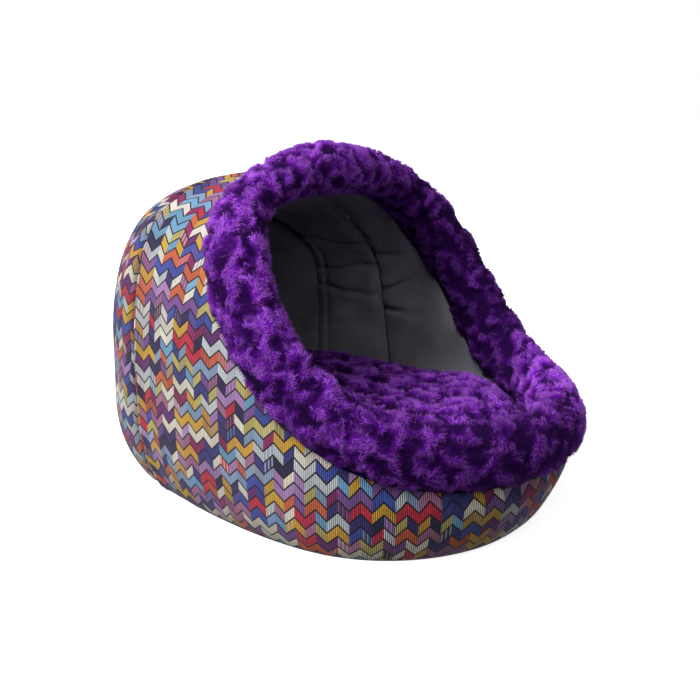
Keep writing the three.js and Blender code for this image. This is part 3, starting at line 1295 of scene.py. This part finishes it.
        # Painted shade in the groove behind the seam, easing off under the roof
        fold = self.back_fold_shade_strength * hump(away, 0.0, self.back_fold_shade_width, self.stitch_power)
        fold = fold * (1 - self.back_fold_shade_ease * smooth(laid[..., 1], *self.roof))
        self._finish(self.back, face.at(share, lift), laid, fold, material)


@dataclass(frozen=True)
class Crease:
    """A crease in the lining: its height, its slope along the wall, its depth, and how far it runs."""

    height: float
    slope: float
    depth: float
    reach: float = math.inf


@dataclass(frozen=True)
class LiningPanel:
    """A panel of the lining: its node, its two seams, its points and lines, and its cloth.

    It starts at the foot where it has no first seam, and ends at the rim where it has no second.
    """

    node: str
    start: Seam | None
    end: Seam | None
    rows: int
    columns: int
    flat: Pair
    rests_on: str


@dataclass
class Lining:
    """Quilted dark lining in three panels, sewn together along two arches."""

    opening: Opening
    finish: PlainWeave = PlainWeave("lining_cloth", shade(97, 96, 103), shade(129, 127, 136))
    back_seam: Seam = Seam(0.152, 0.0, 0.024)
    middle_seam: Seam = Seam(0.051, 0.125, 0.014)
    inset: float = 0.0265
    rise: float = 0.0036
    thickness: float = 0.0026
    soft: float = 0.4
    soft_uneven: Ripple = Ripple(0.25, 0.09, 21)
    fuller: float = 0.35
    stitch_width: float = 0.0028
    back_stitch: float = 0.0045
    back_ease: Pair = (0.0, 0.03)
    middle_stitch: float = 0.0035
    gather_depth: float = 0.0120
    gather_widths: Pair = (0.0042, 0.0120)
    gather_heights: Pair = (0.17, 0.25)
    gather_reach: float = 0.05
    hidden: float = 0.7
    hidden_heights: Pair = (0.235, 0.262)
    welt: tuple[Swell, ...] = (Swell(0.0026, 0.0045, 0.0026), Swell(-0.0050, 0.0098, 0.0024))
    welt_edge: Pair = (0.006, 0.024)
    pillow_edge: Pair = (0.0, 0.016)
    pucker: Ripple = Ripple(0.0011, 0.011, 27)
    pucker_edge: Pair = (0.0, 0.004)
    pucker_reach: float = 0.009
    uneven: Ripple = Ripple(0.0016, 0.055, 24)
    rim_tuck: float = 0.002
    rim_shares: Pair = (0.94, 1.0)
    wander: Ripple = Ripple(0.0025, 0.05, 22)
    crease_ends: Pair = (0.65, 0.35)
    crease_fade: float = 0.02
    crease_from: float = 0.03
    crease_width: float = 0.0034
    crease_swell: Swell = Swell(0.4, 0.0, 0.013)
    deepest: float = 0.0125
    # Depths of relief over which painted shade comes into the deep creases and the gather
    fold_shade_depths: Pair = (0.0035, 0.0115)
    creased: Swell = Swell(2.0, 0.19, 0.07)
    foot_power: float = 1.7
    fine_lines: int = 1500
    spare_turn: float = 0.009
    mean_radius: float = 0.19
    middle_creases: tuple[Crease, ...] = (
        Crease(0.254, 0.30, 0.0100),
        Crease(0.221, 0.10, 0.0125),
        Crease(0.190, -0.12, 0.0130),
        Crease(0.160, 0.03, 0.0125),
        Crease(0.118, -0.05, 0.0040),
    )
    front_creases: tuple[Crease, ...] = (
        Crease(0.236, 0.25, 0.0060, 0.030),
        Crease(0.211, 0.12, 0.0090, 0.036),
        Crease(0.176, 0.38, 0.0120, 0.036),
        Crease(0.1405, -0.05, 0.0130, 0.036),
    )

    def build(self) -> None:
        """Builds the three panels."""
        material = self.finish.material()
        back, middle = self.back_seam, self.middle_seam
        for panel in (
            LiningPanel("lining_back", None, back, 30, 120, (0.33, 0.28), "outer_back"),
            LiningPanel("lining_middle", back, middle, 72, 250, (0.82, 0.13), "outer_wrap"),
            LiningPanel("lining_front", middle, None, 28, 400, (1.28, 0.18), "outer_wrap"),
        ):
            self._panel(panel, material)

    def _relief(self, place: Array, share: Array, panel: LiningPanel) -> Array:
        """How far the lining stands into the bed: pillows between creases, sewn down at the seams.

        Args:
            place: points of the plain lining, from the dome's centre.
            share: how far up the wall each is.
            panel: the panel.

        Returns:
            The rise at each point.
        """
        height = self.opening.dome.height(place)
        before_back, before_middle = -self.back_seam.behind(place), -self.middle_seam.behind(place)
        soft = self.soft + self.soft_uneven.at(place)
        gather = smooth(height, *self.gather_heights)
        width = np.where(before_back > 0, *self.gather_widths)
        sunk = self.back_stitch * fade(before_back, self.stitch_width)
        sunk = sunk + self.gather_depth * gather * hump(before_back, 0.0, width)
        if not panel.start:
            return self.rise * soft * smooth(-before_back, *self.back_ease) - sunk
        if panel.end:
            away, creases = -before_middle, self.middle_creases
            inside, ends = self.crease_ends
            deepen = inside + ends * np.exp(-np.minimum(away, before_back) / self.crease_fade)
            welt = sum(swell.at(before_back) for swell in self.welt) * (1 - gather)
            edge = smooth(before_back, *self.welt_edge) * (1 + gather)
        else:
            away, creases = before_middle, self.front_creases
            deepen, welt, sunk = 1.0, 0.0, 0.0
            edge = 1 + gather * fade(away, self.gather_reach)
        hidden = self.hidden * smooth(height, *self.hidden_heights)
        edge = edge * (hidden + (1 - hidden) * smooth(away, *self.pillow_edge))
        pucker = self.pucker.at(place) * smooth(away, *self.pucker_edge) * fade(away, self.pucker_reach)
        pillow = self.rise * (soft + self.fuller) * edge
        lift = pillow + welt - sunk + self.uneven.at(place) * edge + pucker
        wander = self.wander.at(place)
        for crease in creases:
            off = height - crease.height - crease.slope * (away - self.crease_from) - wander
            groove = fade(off, self.crease_width) - self.crease_swell.at(off)
            lift = lift - crease.depth * deepen * hump(away, 0.0, crease.reach) * groove
        stitched = self.middle_stitch * (1 - hidden) * fade(away, self.stitch_width)
        lift = lift - stitched - self.rim_tuck * smooth(share, *self.rim_shares)
        return np.maximum(lift, -self.deepest)

    def _lines(self, turn: Array, panel: LiningPanel) -> tuple[WallFace, Array, Array]:
        """Lines up the wall at some turns.

        Args:
            turn: turns about the opening's axis.
            panel: the panel.

        Returns:
            The lines, and the shares at which they pass the panel's two edges.
        """
        start, end, half_gap = panel.start, panel.end, self.opening.gap / 2
        face = WallFace(self.opening, self.opening.edge_near(turn), self.inset)
        low = face.crossing(replace(start, depth=start.depth - half_gap)) if start else np.zeros(turn.shape)
        high = face.crossing(replace(end, depth=end.depth + half_gap)) if end else np.ones(turn.shape)
        return face, low, high

    def _panel(self, panel: LiningPanel, material: Material) -> None:
        """Builds one panel of the lining, with its lines closest where it is creased.

        Args:
            panel: the panel.
            material: its material.
        """
        dome, reach = self.opening.dome, math.pi
        if panel.end:
            turn = QUARTER + np.linspace(-math.pi, math.pi, TURNS)
            face = WallFace(self.opening, self.opening.edge_near(turn), self.inset)
            behind = turn[face.crossing(panel.end) > 0]
            reach = np.max(np.abs(behind - QUARTER)) + self.spare_turn
        turn = QUARTER + reach * np.linspace(-1, 1, self.fine_lines)
        face, low, high = self._lines(turn, panel)
        middle = face.at((low + high) / 2)
        steps = lengths(middle, 0) * (1 + self.creased.at(dome.height(middle[1:])))
        run = np.concatenate(((0.0,), np.cumsum(steps)))
        turn = np.interp(np.linspace(0, run[-1], panel.columns), run, turn)
        face, low, high = self._lines(turn, panel)
        step = np.linspace(0, 1, panel.rows)
        if not panel.start:
            step = 1 - (1 - step) ** self.foot_power
        share = low + np.maximum(high - low, 0) * step[:, None]
        plain = face.at(share)
        relief = self._relief(plain, share, panel)
        points = face.at(share, -relief) + dome.centre
        rise = lengths(plain, 0)
        up = np.concatenate((rise[:1] * 0, np.cumsum(rise, 0)))
        across = np.tile((turn - turn[0]) * self.mean_radius, (panel.rows, 1))
        # Painted shade in the deep creases and the gather
        fold = smooth(-relief, *self.fold_shade_depths)
        piece = Bench.grid(f"{panel.node}_cloth", points, np.stack((across, up), -1), fold)
        Bench.thicken(piece, self.thickness, inwards=False)
        Bench.dress(piece, material, Slot.LINING, panel.node)
        Bench.sheet(piece, panel.flat, Hold.STRETCHED, panel.rests_on)


@dataclass(frozen=True)
class Tufts:
    """Tufts of pile, one row each: root, normal of the backing, lean, length, upright share, and tone with
    painted shade.
    """

    root: Array
    way: Array
    lean: Array
    length: Array
    upright: Array
    tone: Array
    sunk: float = 0.0006
    along: tuple[float, ...] = (0.48, 0.48, 0.48, 0.97)

    def build(self, name: str, width: float, softness: float) -> Piece:
        """Builds the tufts, each a closed three-sided spike.

        Args:
            name: name of the piece.
            width: half width of a tuft at its root.
            softness: how far its shading follows the backing.

        Returns:
            One piece with all the tufts.
        """
        count = len(self.root)
        side = np.cross(self.way, self.lean)
        run = self.way * self.upright[:, None] + self.lean * np.sqrt(1 - self.upright**2)[:, None]
        top = np.cross(run, side)
        points, ways = np.empty((count, 4, 3)), np.empty((count, 4, 3))
        for corner in range(3):
            angle = QUARTER + corner * math.tau / 3
            round_way = math.cos(angle) * side + math.sin(angle) * top
            points[:, corner] = self.root - self.way * self.sunk + width * round_way
            ways[:, corner] = softness * self.way + (1 - softness) * round_way
        points[:, 3] = self.root + run * self.length[:, None]
        ways[:, 3] = self.way + 0.3 * run
        spike = np.array(((0, 1, 3), (1, 2, 3), (2, 0, 3), (0, 2, 1)))
        faces = (np.arange(count) * 4)[:, None, None] + spike
        mesh = bpy.data.meshes.new(name)
        mesh.vertices.add(count * 4)
        mesh.vertices.foreach_set("co", points.astype(np.float32).ravel())
        mesh.loops.add(count * 12)
        mesh.loops.foreach_set("vertex_index", faces.astype(np.int32).ravel())
        mesh.polygons.add(count * 4)
        mesh.polygons.foreach_set("loop_start", np.arange(count * 4, dtype=np.int32) * 3)
        mesh.polygons.foreach_set("use_smooth", np.ones(count * 4, bool))
        mesh.update(calc_edges=True)
        mesh.normals_split_custom_set_from_vertices(unit(ways).reshape(-1, 3).tolist())
        piece = Bench.hold(name, mesh)
        Bench.note(piece, "along", np.tile(self.along, count))
        Bench.note(piece, "tone", np.repeat(self.tone, 4))
        return piece


@dataclass
class Plush:
    """Rosette plush: a dented backing, and fine pile that lies away from each dent and swirls round it."""

    pile: PlushPile = PlushPile()
    backing: PlushBacking = PlushBacking()
    spacing: float = 0.0180
    spacing_range: Pair = (0.8, 1.5)
    dent: float = 0.0033
    length: float = 0.0050
    width: float = 0.00045
    swirl: float = 0.9
    softness: float = 0.65
    bends: tuple[Ripple, ...] = (Ripple(0.0045, 0.022, 5), Ripple(0.0045, 0.022, 6), Ripple(0.0045, 0.022, 7))
    ridges: tuple[Ripple, ...] = (Ripple(0.65, 0.023, 1), Ripple(0.4, 0.0125, 9))
    ruffle: Ripple = Ripple(0.2, 0.007, 4)
    # How far the painted shade lowers the ridges, so that more dents show where it is darker
    painted_shade_rise: float = 0.28
    ridge_range: Pair = (-0.38, 0.54)
    turn_range: Pair = (0.4, 1.3)
    bright_range: Pair = (0.75, 1.0)
    stray: Ripple = Ripple(0.9, 0.009, 2)
    stray_spread: float = 0.5
    length_range: Pair = (0.65, 1.2)
    upright_spread: float = 0.1
    upright_range: Pair = (0.08, 0.7)
    clump: float = 0.76
    clumps: tuple[Ripple, ...] = (Ripple(0.22, 0.0048, 3), Ripple(0.12, 0.0024, 8))
    uneven: Ripple = Ripple(0.25, 0.05, 10)
    tone_spread: float = 0.07
    tries: int = 5000
    batch: int = 4000
    probe: float = 0.001
    steepest: float = 1.2
    materials: list[Material] = field(default_factory=list)

    def finishes(self) -> list[Material]:
        """The backing's and the pile's materials, built once."""
        self.materials = self.materials or [self.backing.material(), self.pile.material()]
        return self.materials

    def scatter(self, piece: Piece, keep: Array, count: int, rng: np.random.Generator) -> tuple[Array, Array]:
        """Spreads places evenly over a piece.

        Args:
            piece: the backing.
            keep: which of its points may carry pile.
            count: how many places.
            rng: source of chance.

        Returns:
            The places and the normals there.
        """
        piece.data.calc_loop_triangles()
        corners = Bench.read(piece.data.loop_triangles, "vertices", 3, np.int32)
        corners = corners[np.all(keep[corners], 1)]
        points, ways = Bench.points(piece), Bench.normals(piece)
        a, b, c = (points[corners[:, i]] for i in range(3))
        area = np.cumsum(np.linalg.norm(np.cross(b - a, c - a), axis=1))
        pick = np.searchsorted(area, (np.arange(count) + rng.random(count)) / count * area[-1])
        pick = np.minimum(pick, len(corners) - 1)
        s, t = np.sqrt(rng.random((count, 1))), rng.random((count, 1))
        weights = (1 - s, s * (1 - t), s * t)
        place = sum(w * points[corners[pick, i]] for i, w in enumerate(weights))
        way = sum(w * ways[corners[pick, i]] for i, w in enumerate(weights))
        return place, unit(way)

    def rosettes(self, places: Array, rng: np.random.Generator) -> Array:
        """Picks rosette middles that keep uneven distances from each other.

        Args:
            places: places to pick from, in turn.
            rng: source of chance.

        Returns:
            The middles.
        """
        chosen = places[:1]
        for place in places[1:]:
            least = self.spacing * rng.uniform(*self.spacing_range)
            if np.min(np.sum((chosen - place) ** 2, 1)) > least**2:
                chosen = np.concatenate((chosen, place[None]))
        return chosen

    def cells(self, places: Array, middles: Array) -> tuple[Array, Array]:
        """Nearest rosette of each place.

        Args:
            places: points on the backing.
            middles: rosette middles.

        Returns:
            The rosette of each place, and 0 at its middle to 1 at its edge.
        """
        index, edge = np.empty(len(places), int), np.empty(len(places))
        for start in range(0, len(places), self.batch):
            part = slice(start, start + self.batch)
            away = np.sqrt(np.sum((places[part][:, None] - middles[None]) ** 2, -1))
            order = np.argpartition(away, 1, axis=1)[:, :2]
            pair = np.take_along_axis(away, order, 1)
            first = np.argmin(pair, 1)
            rows = np.arange(len(away))
            index[part] = order[rows, first]
            edge[part] = pair[rows, first] / np.maximum(pair[rows, 1 - first], 1e-9)
        return index, edge

    def grow(
        self, piece: Piece, keep: Array, counts: tuple[int, ...], seed: int, painted_shade: Callable[[Array], Array]
    ) -> list[Piece]:
        """Dents a backing and covers it with pile.

        Args:
            piece: the backing, smooth.
            keep: which of its points may carry pile.
            counts: number of tufts in each piece of pile.
            seed: seed of its chance.
            painted_shade: brightness factor at each place, which paints shade where less light falls.

        Returns:
            The pieces of pile.
        """
        rng = np.random.default_rng(seed)
        tries, _ = self.scatter(piece, keep, self.tries, rng)
        middles = self.rosettes(rng.permutation(tries), rng)
        number = len(middles)
        LOG.info("%s: %d rosettes", piece.name, number)
        turns = rng.uniform(*self.turn_range, number) * rng.choice((-1.0, 1.0), number)
        bright = rng.uniform(*self.bright_range, number)

        def height(place: Array) -> tuple[Array, Array, Array]:
            bent = place + np.stack([bend.at(place, seed) for bend in self.bends], -1)
            cell, edge = self.cells(bent, middles)
            rise = 0.5 * (edge - 0.5)
            for ridge in self.ridges:
                rise = rise + ridge.at(bent, seed)
            rise = rise + self.ruffle.at(place, seed) + self.painted_shade_rise * (painted_shade(place) - 1)
            high = smooth(rise, *self.ridge_range)
            return cell, high, self.dent * (1 - high)

        smooth_points, smooth_ways = Bench.points(piece), Bench.normals(piece)
        pieces = []
        for count in counts:
            place, way = self.scatter(piece, keep, count, rng)
            cell, high, sunk = height(place)
            root = place - way * sunk[:, None]
            across = unit(np.cross(way, (0.31, 0.52, 0.79)))
            level = (across, np.cross(way, across))
            tilt = sum(t * (height(place + self.probe * t)[2] - sunk)[:, None] / self.probe for t in level)
            way = unit(way + np.clip(tilt, -self.steepest, self.steepest))
            radial = place - middles[cell]
            radial = unit(radial - way * np.sum(radial * way, 1, keepdims=True))
            turn = self.swirl * turns[cell] + self.stray.at(place, seed)
            turn = turn + rng.normal(0, self.stray_spread, count)
            lean = unit(radial * np.cos(turn)[:, None] + np.cross(way, radial) * np.sin(turn)[:, None])
            length = self.length * (0.55 + 0.45 * high) * rng.uniform(*self.length_range, count)
            upright = 0.26 + 0.17 * high + rng.normal(0, self.upright_spread, count)
            upright = np.clip(upright, *self.upright_range)
            clump = self.clump
            for ripple in self.clumps:
                clump = clump + ripple.at(place, seed)
            uneven = 1 + self.uneven.at(place, seed)
            # Tone: random by rosette, clump and tuft, with painted shade: dark in the dents, lighter on the
            # ridges, and times the painted side shade
            tone = (0.02 + 0.98 * high) * bright[cell] * clump * painted_shade(place) * uneven
            tone = np.clip(tone + rng.normal(0, self.tone_spread, count) * (0.3 + 0.7 * high), 0, 1)
            tufts = Tufts(root, way, lean, length, upright, tone)
            name = f"{piece.name}_pile_{len(pieces) + 1}"
            pieces.append(tufts.build(name, self.width, self.softness))
        _, high, sunk = height(smooth_points)
        Bench.move(piece, smooth_points - smooth_ways * (sunk * keep)[:, None])
        # The backing's tone is painted light on the ridges, times the painted side shade
        Bench.note(piece, "tone", high * keep * painted_shade(smooth_points))
        return pieces

    def dress(self, piece: Piece, pile: list[Piece], node: str) -> None:
        """Gives the backing and its pile their finishes and their place in the part.

        Args:
            piece: the backing.
            pile: its pieces of pile.
            node: node of the part that they stand for.
        """
        backing, tuft = self.finishes()
        Bench.dress(piece, backing, Slot.PLUSH, node)
        for tufts in pile:
            Bench.dress(tufts, tuft, Slot.PLUSH, node)


@dataclass
class Rim:
    """Stuffed plush band along the edge of the opening, flat where it sits on the wall."""

    opening: Opening
    plush: Plush
    stations: int = 256
    round_points: int = 34
    seat_points: int = 6
    ring_radius: float = 0.2
    ring_thick: float = 0.03
    inset: float = 0.0022
    seat_drop: float = 0.001
    uneven: Ripple = Ripple(0.03, 0.09, 31)
    fullness: tuple[Swell, ...] = (Swell(0.08, 0.41, 0.27), Swell(-0.12, 2.34, 0.32))
    swells: tuple[Swell, ...] = (
        Swell(0.005, 1.6, 0.28),
        Swell(-0.0035, 2.25, 0.22),
        Swell(0.0045, 0.12, 0.33),
    )
    crown_levels: Pair = (0.6, 1.0)
    crown_rise: float = 0.009
    crown_slim: float = 0.1
    inner_side: Pair = (0.0, 1.0)
    outer_side: Pair = (-0.1, 0.7)
    hang: Swell = Swell(0.018, -0.47, 0.33)
    tufts: tuple[int, ...] = (40000, 40000, 40000)
    seed: int = 32
    # Painted shade of the pile by side, where less light falls on the right and at the front
    bright: float = 1.07
    right_painted_shade: float = 0.6
    right_side: Pair = (0.03, 0.13)
    top_ease: float = 0.6
    top_heights: Pair = (0.22, 0.31)
    front_painted_shade: float = 0.46
    front_side: Pair = (0.08, 0.2)
    front_right: Pair = (0.0, 0.09)

    def build(self) -> None:
        """Builds the band's backing from a ring and covers it with pile."""
        size = self.round_points + self.seat_points
        piece = Bench.start(
            "rim_plush",
            bpy.ops.mesh.primitive_torus_add,
            major_segments=self.stations,
            minor_segments=size,
            major_radius=self.ring_radius,
            minor_radius=self.ring_thick,
        )
        Bench.move(piece, self._points())
        Bench.merge(piece)
        keep = np.tile(np.arange(size) < self.round_points, self.stations)
        pile = self.plush.grow(piece, keep, self.tufts, self.seed, self._painted_shade)
        self.plush.dress(piece, pile, "rim")

    def _points(self) -> Array:
        """Points of the band: a round section with a flat seat, fuller and thinner along its way.

        Returns:
            The points, station by station, in the part's frame.
        """
        edge = self.opening.edge(np.arange(self.stations) * math.tau / self.stations)
        thick, tall = self.opening.rim_half_thick - self.inset, self.opening.rim_half_tall - self.inset
        seat = self.opening.rim_seat - self.seat_drop
        start = -math.asin(min(seat / tall, 0.98))
        angle = np.linspace(start, math.pi - start, self.round_points)
        out, up = thick * np.cos(angle), np.maximum(tall * np.sin(angle), -seat)
        back = np.linspace(1, 0, self.seat_points + 2)[1:-1]
        out = np.concatenate((out, out[0] + (out[-1] - out[0]) * back))
        up = np.concatenate((up, up[0] + back * 0))
        inner = np.concatenate((smooth(-np.cos(angle), *self.inner_side), back))
        outer = np.concatenate((smooth(np.cos(angle), *self.outer_side), 1 - back))
        turn = (np.mod(edge.turn + QUARTER, math.tau) - QUARTER)[:, None]
        level = np.sin(turn)
        crown = smooth(level, *self.crown_levels)
        full = 1 + self.uneven.at(edge.point)[:, None]
        for swell in self.fullness:
            full = full + swell.at(turn)
        swell = sum(swell.at(turn) for swell in self.swells)
        out = out * full * (1 - self.crown_slim * crown * inner) + swell * outer
        up = np.where(up > 0, up * full + self.crown_rise * crown, up) - self.hang.at(level) * inner
        points = edge.point[:, None] + edge.out[:, None] * out[..., None] + edge.up[:, None] * up[..., None]
        return points.reshape(-1, 3) + self.opening.dome.centre

    def _painted_shade(self, place: Array) -> Array:
        """Painted shade of the pile, as a brightness factor: full on the left, darker on the right below the
        crown and at the front left, lighter at the front right corner.

        Args:
            place: places in the part's frame.

        Returns:
            The brightness at each place.
        """
        top = 1 - self.top_ease * smooth(place[:, 2], *self.top_heights)
        right = smooth(place[:, 0], *self.right_side) * top
        front = smooth(-place[:, 1], *self.front_side)
        left = 1 - 2.0 * smooth(place[:, 0], *self.front_right)
        right_shaded = self.bright * (1 - self.right_painted_shade * right * (1 - front))
        return right_shaded * (1 - self.front_painted_shade * front * left)


@dataclass
class Cushion:
    """Filled plush cushion on the floor of the bed."""

    plush: Plush
    shrink: float = 0.0020
    full_edge: float = 0.0172
    full_front: float = 0.4
    front_from: float = 0.13
    voxel: float = 0.006
    cap: float = 0.004
    frames: int = 20
    pressure: float = 4.0
    floor: float = 0.0036
    steepest: float = 0.25
    painted_shade: float = 0.98
    tufts: tuple[int, ...] = (31000, 31000)
    seed: int = 52

    def build(self) -> None:
        """Builds the cushion's backing from its solid, fills it and covers its top with pile."""
        piece = Bench.hold("cushion_plush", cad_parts["cushion"].data.copy())
        Bench.merge(piece)
        self._draw_in(piece)
        Bench.take(piece)
        piece.data.remesh_voxel_size = self.voxel
        bpy.ops.object.voxel_remesh()
        self._fill(piece)
        keep = Bench.normals(piece)[:, 2] > self.steepest
        pile = self.plush.grow(piece, keep, self.tufts, self.seed, self._painted_shade)
        self.plush.dress(piece, pile, "cushion")

    def _painted_shade(self, place: Array) -> Array:
        """Brightness factor of the pile's painted shade: the same all over, so no side is shaded."""
        return np.full(len(place), self.painted_shade)

    def _draw_in(self, piece: Piece) -> None:
        """Makes the form smaller by the depth of its pile and of its swelling, and its edge fuller.

        Args:
            piece: the backing.
        """
        points = Bench.points(piece)
        low, high = points.min(0), points.max(0)
        middle, size = (low + high) / 2, high - low
        scale = 1 - 2 * np.array((self.shrink, self.shrink, self.shrink * 0.5)) / size
        points = middle + (points - middle) * scale
        points[:, 2] += low[2] - points[:, 2].min()
        reach = np.linalg.norm((points - middle)[:, :2] / size[:2] * 2, axis=1)
        share = np.clip((points[:, 2] - low[2]) / size[2], 0, 1)
        front = smooth(-points[:, 1], 0.0, self.front_from)
        points[:, 2] = low[2] + size[2] * share ** (1 - self.full_front * front)
        points[:, 2] += (0.25 + 0.75 * front) * self.full_edge * smooth(reach, 0.4, 0.85) * share
        Bench.move(piece, points)

    def _fill(self, piece: Piece) -> None:
        """Fills the cushion with a short cloth simulation under pressure, and caps how far it swells.

        Args:
            piece: the backing.
        """
        before = Bench.points(piece)
        cloth = piece.modifiers.new("filling", "CLOTH")
        cloth.settings.use_pressure = True
        cloth.settings.uniform_pressure_force = self.pressure
        cloth.settings.effector_weights.gravity = 0.0
        scene = bpy.context.scene
        for number in range(1, self.frames + 1):
            scene.frame_set(number)
        bpy.context.view_layer.update()
        after = Bench.points(piece.evaluated_get(bpy.context.evaluated_depsgraph_get()))
        piece.modifiers.remove(cloth)
        scene.frame_set(1)
        move = after - before
        size = np.linalg.norm(move, axis=1, keepdims=True)
        points = before + move * np.minimum(1.0, self.cap / np.maximum(size, 1e-9))
        points[:, 2] = np.maximum(points[:, 2], self.floor)
        Bench.move(piece, points)


@dataclass
class Base:
    """Flat cloth-covered base that the wall is sewn to."""

    opening: Opening
    finish: PlainWeave = PlainWeave("base_cloth", shade(46, 46, 49), shade(66, 66, 70), 0.0012, 0.1)
    thick: float = 0.003
    rounding: float = 0.0011
    rounding_steps: int = 3
    sharp: float = 1.0
    tuck: float = 0.004
    sides: int = 180
    radius: float = 0.2
    insets: tuple[float, ...] = (0.02, 0.03, 0.04)
    flat: Pair = (0.335, 0.435)

    def build(self) -> None:
        """Builds the base from a filled circle, moved onto the outline of the foot."""
        add = bpy.ops.mesh.primitive_circle_add
        piece = Bench.start("base_cloth", add, vertices=self.sides, radius=self.radius, fill_type="NGON")
        Bench.move(piece, self._outline(Bench.points(piece)))
        with Bench.editing(piece):
            for width in self.insets:
                bpy.ops.mesh.inset(thickness=width, depth=0.0)
        Bench.thicken(piece, self.thick)
        edge = piece.modifiers.new("rounding", "BEVEL")
        edge.width, edge.segments = self.rounding, self.rounding_steps
        edge.limit_method, edge.angle_limit = "ANGLE", self.sharp
        bpy.ops.object.modifier_apply(modifier=edge.name)
        piece.data.uv_layers.new(name="cloth")
        Bench.lay(piece, Bench.points(piece)[:, :2])
        Bench.dress(piece, self.finish.material(), Slot.BASE, "base_panel")
        Bench.sheet(piece, self.flat, Hold.LAID, "base_panel")

    def _outline(self, points: Array) -> Array:
        """Moves the points of a circle onto the outline of the wall's foot.

        Args:
            points: points of the circle.

        Returns:
            Points on the outline, in the part's frame.
        """
        turn = np.arctan2(points[:, 1], points[:, 0])
        dome = self.opening.dome

        def at(drop: Array) -> Array:
            way = (np.cos(turn) * np.cos(drop), np.sin(turn) * np.cos(drop), -np.sin(drop))
            return dome.point(np.stack(way, -1))

        def is_up(drop: Array) -> Array:
            return dome.height(at(drop)) > self.opening.foot_level

        outline = at(solve(is_up, turn * 0, turn * 0 + QUARTER))
        grown = 1 + (self.opening.settled(outline) - self.tuck) / np.linalg.norm(outline[:, :2], axis=1)
        outline = outline * grown[:, None] + dome.centre
        outline[:, 2] = self.thick
        return outline


@dataclass(frozen=True)
class Lamp:
    """A wide soft light from far away: its place and its width in degrees, and its strength."""

    name: str
    azimuth: float
    elevation: float
    width: float
    power: float


@dataclass
class Studio:
    """Pale floor, soft light and the camera."""

    floor: StudioFloor = StudioFloor()
    floor_size: float = 60.0
    floor_drop: float = 0.0005
    azimuth: float = -51.65
    elevation: float = 15.19
    distance: float = 0.882
    target: tuple[float, float, float] = (0.0, 0.00125, 0.1638)
    aim_right: float = 0.00314
    aim_up: float = -0.02876
    lens: float = 44.47
    film_width: float = 36.0
    clip: Pair = (0.01, 100.0)
    daylight: float = 0.15
    lamp_distance: float = 2.0
    lamps: tuple[Lamp, ...] = (
        Lamp("key_light", -113.0, 51.0, 40.0, 4.5),
        Lamp("top_light", -62.0, 50.0, 30.0, 0.45),
        Lamp("fill_light", -44.0, 30.0, 30.0, 0.3),
        Lamp("side_light", 42.0, 20.0, 30.0, 0.55),
        Lamp("bounce_light", -80.0, -28.0, 60.0, 0.4),
    )

    def build(self) -> None:
        """Builds the floor, the lights and the camera."""
        add, place = bpy.ops.mesh.primitive_plane_add, (0, 0, -self.floor_drop)
        floor = Bench.start("studio_floor", add, size=self.floor_size, location=place)
        bpy.ops.object.transform_apply(location=True, rotation=True, scale=True)
        floor.data.materials.append(self.floor.material())
        floor.visible_diffuse = floor.visible_shadow = False
        for lamp in self.lamps:
            self._light(lamp)
        self._world()
        self._camera()

    def _back(self, azimuth: float, elevation: float) -> Vector:
        """Way from the object towards a viewer.

        Args:
            azimuth: where the viewer stands round the bed, in degrees.
            elevation: how high the viewer stands, in degrees.

        Returns:
            The unit direction.
        """
        turn, rise = math.radians(azimuth), math.radians(elevation)
        flat = math.cos(rise)
        return Vector((math.sin(turn) * flat, -math.cos(turn) * flat, math.sin(rise)))

    def _light(self, lamp: Lamp) -> None:
        """Adds a light.

        Args:
            lamp: the light.
        """
        light = bpy.data.lights.new(lamp.name, "SUN")
        light.angle, light.energy = math.radians(lamp.width), lamp.power
        holder = Bench.hold(lamp.name, light)
        back = self._back(lamp.azimuth, lamp.elevation)
        holder.location = Vector(self.target) + back * self.lamp_distance
        holder.rotation_euler = back.to_track_quat("Z", "Y").to_euler()

    def _world(self) -> None:
        """Adds even white light from all round, with a white background."""
        world = bpy.data.worlds.new("studio_light")
        bpy.context.scene.world = world
        world.use_nodes = True
        tree = world.node_tree
        light = tree.nodes["Background"]
        light.inputs["Color"].default_value = (1.0, 1.0, 1.0, 1.0)
        seen = tree.nodes.new("ShaderNodeMapRange")
        seen.inputs["To Min"].default_value = self.daylight
        tree.links.new(tree.nodes.new("ShaderNodeLightPath").outputs["Is Camera Ray"], seen.inputs["Value"])
        tree.links.new(seen.outputs["Result"], light.inputs["Strength"])
        bpy.context.scene.view_settings.view_transform = "Standard"

    def _camera(self) -> None:
        """Adds the camera at the photograph's viewing angle."""
        back, turn = self._back(self.azimuth, self.elevation), math.radians(self.azimuth)
        right = Vector((math.cos(turn), math.sin(turn), 0.0))
        up = back.cross(right)
        aim = Vector(self.target) + right * self.aim_right + up * self.aim_up
        lens = bpy.data.cameras.new("view")
        lens.lens, lens.sensor_width = self.lens, self.film_width
        lens.clip_start, lens.clip_end = self.clip
        camera = Bench.hold("view", lens)
        facing = Matrix((right, up, back)).transposed().to_4x4()
        camera.matrix_world = Matrix.Translation(aim + back * self.distance) @ facing
        bpy.context.scene.camera = camera


def main() -> None:
    """Builds the sub-assemblies in order."""
    logging.basicConfig(level=logging.INFO, format="%(name)s %(message)s", stream=sys.stdout)
    opening, plush = Opening(), Plush()
    Studio().build()
    OuterWall(opening).build()
    Lining(opening).build()
    Base(opening).build()
    Rim(opening, plush).build()
    Cushion(plush).build()


if __name__ == "__main__":
    main()
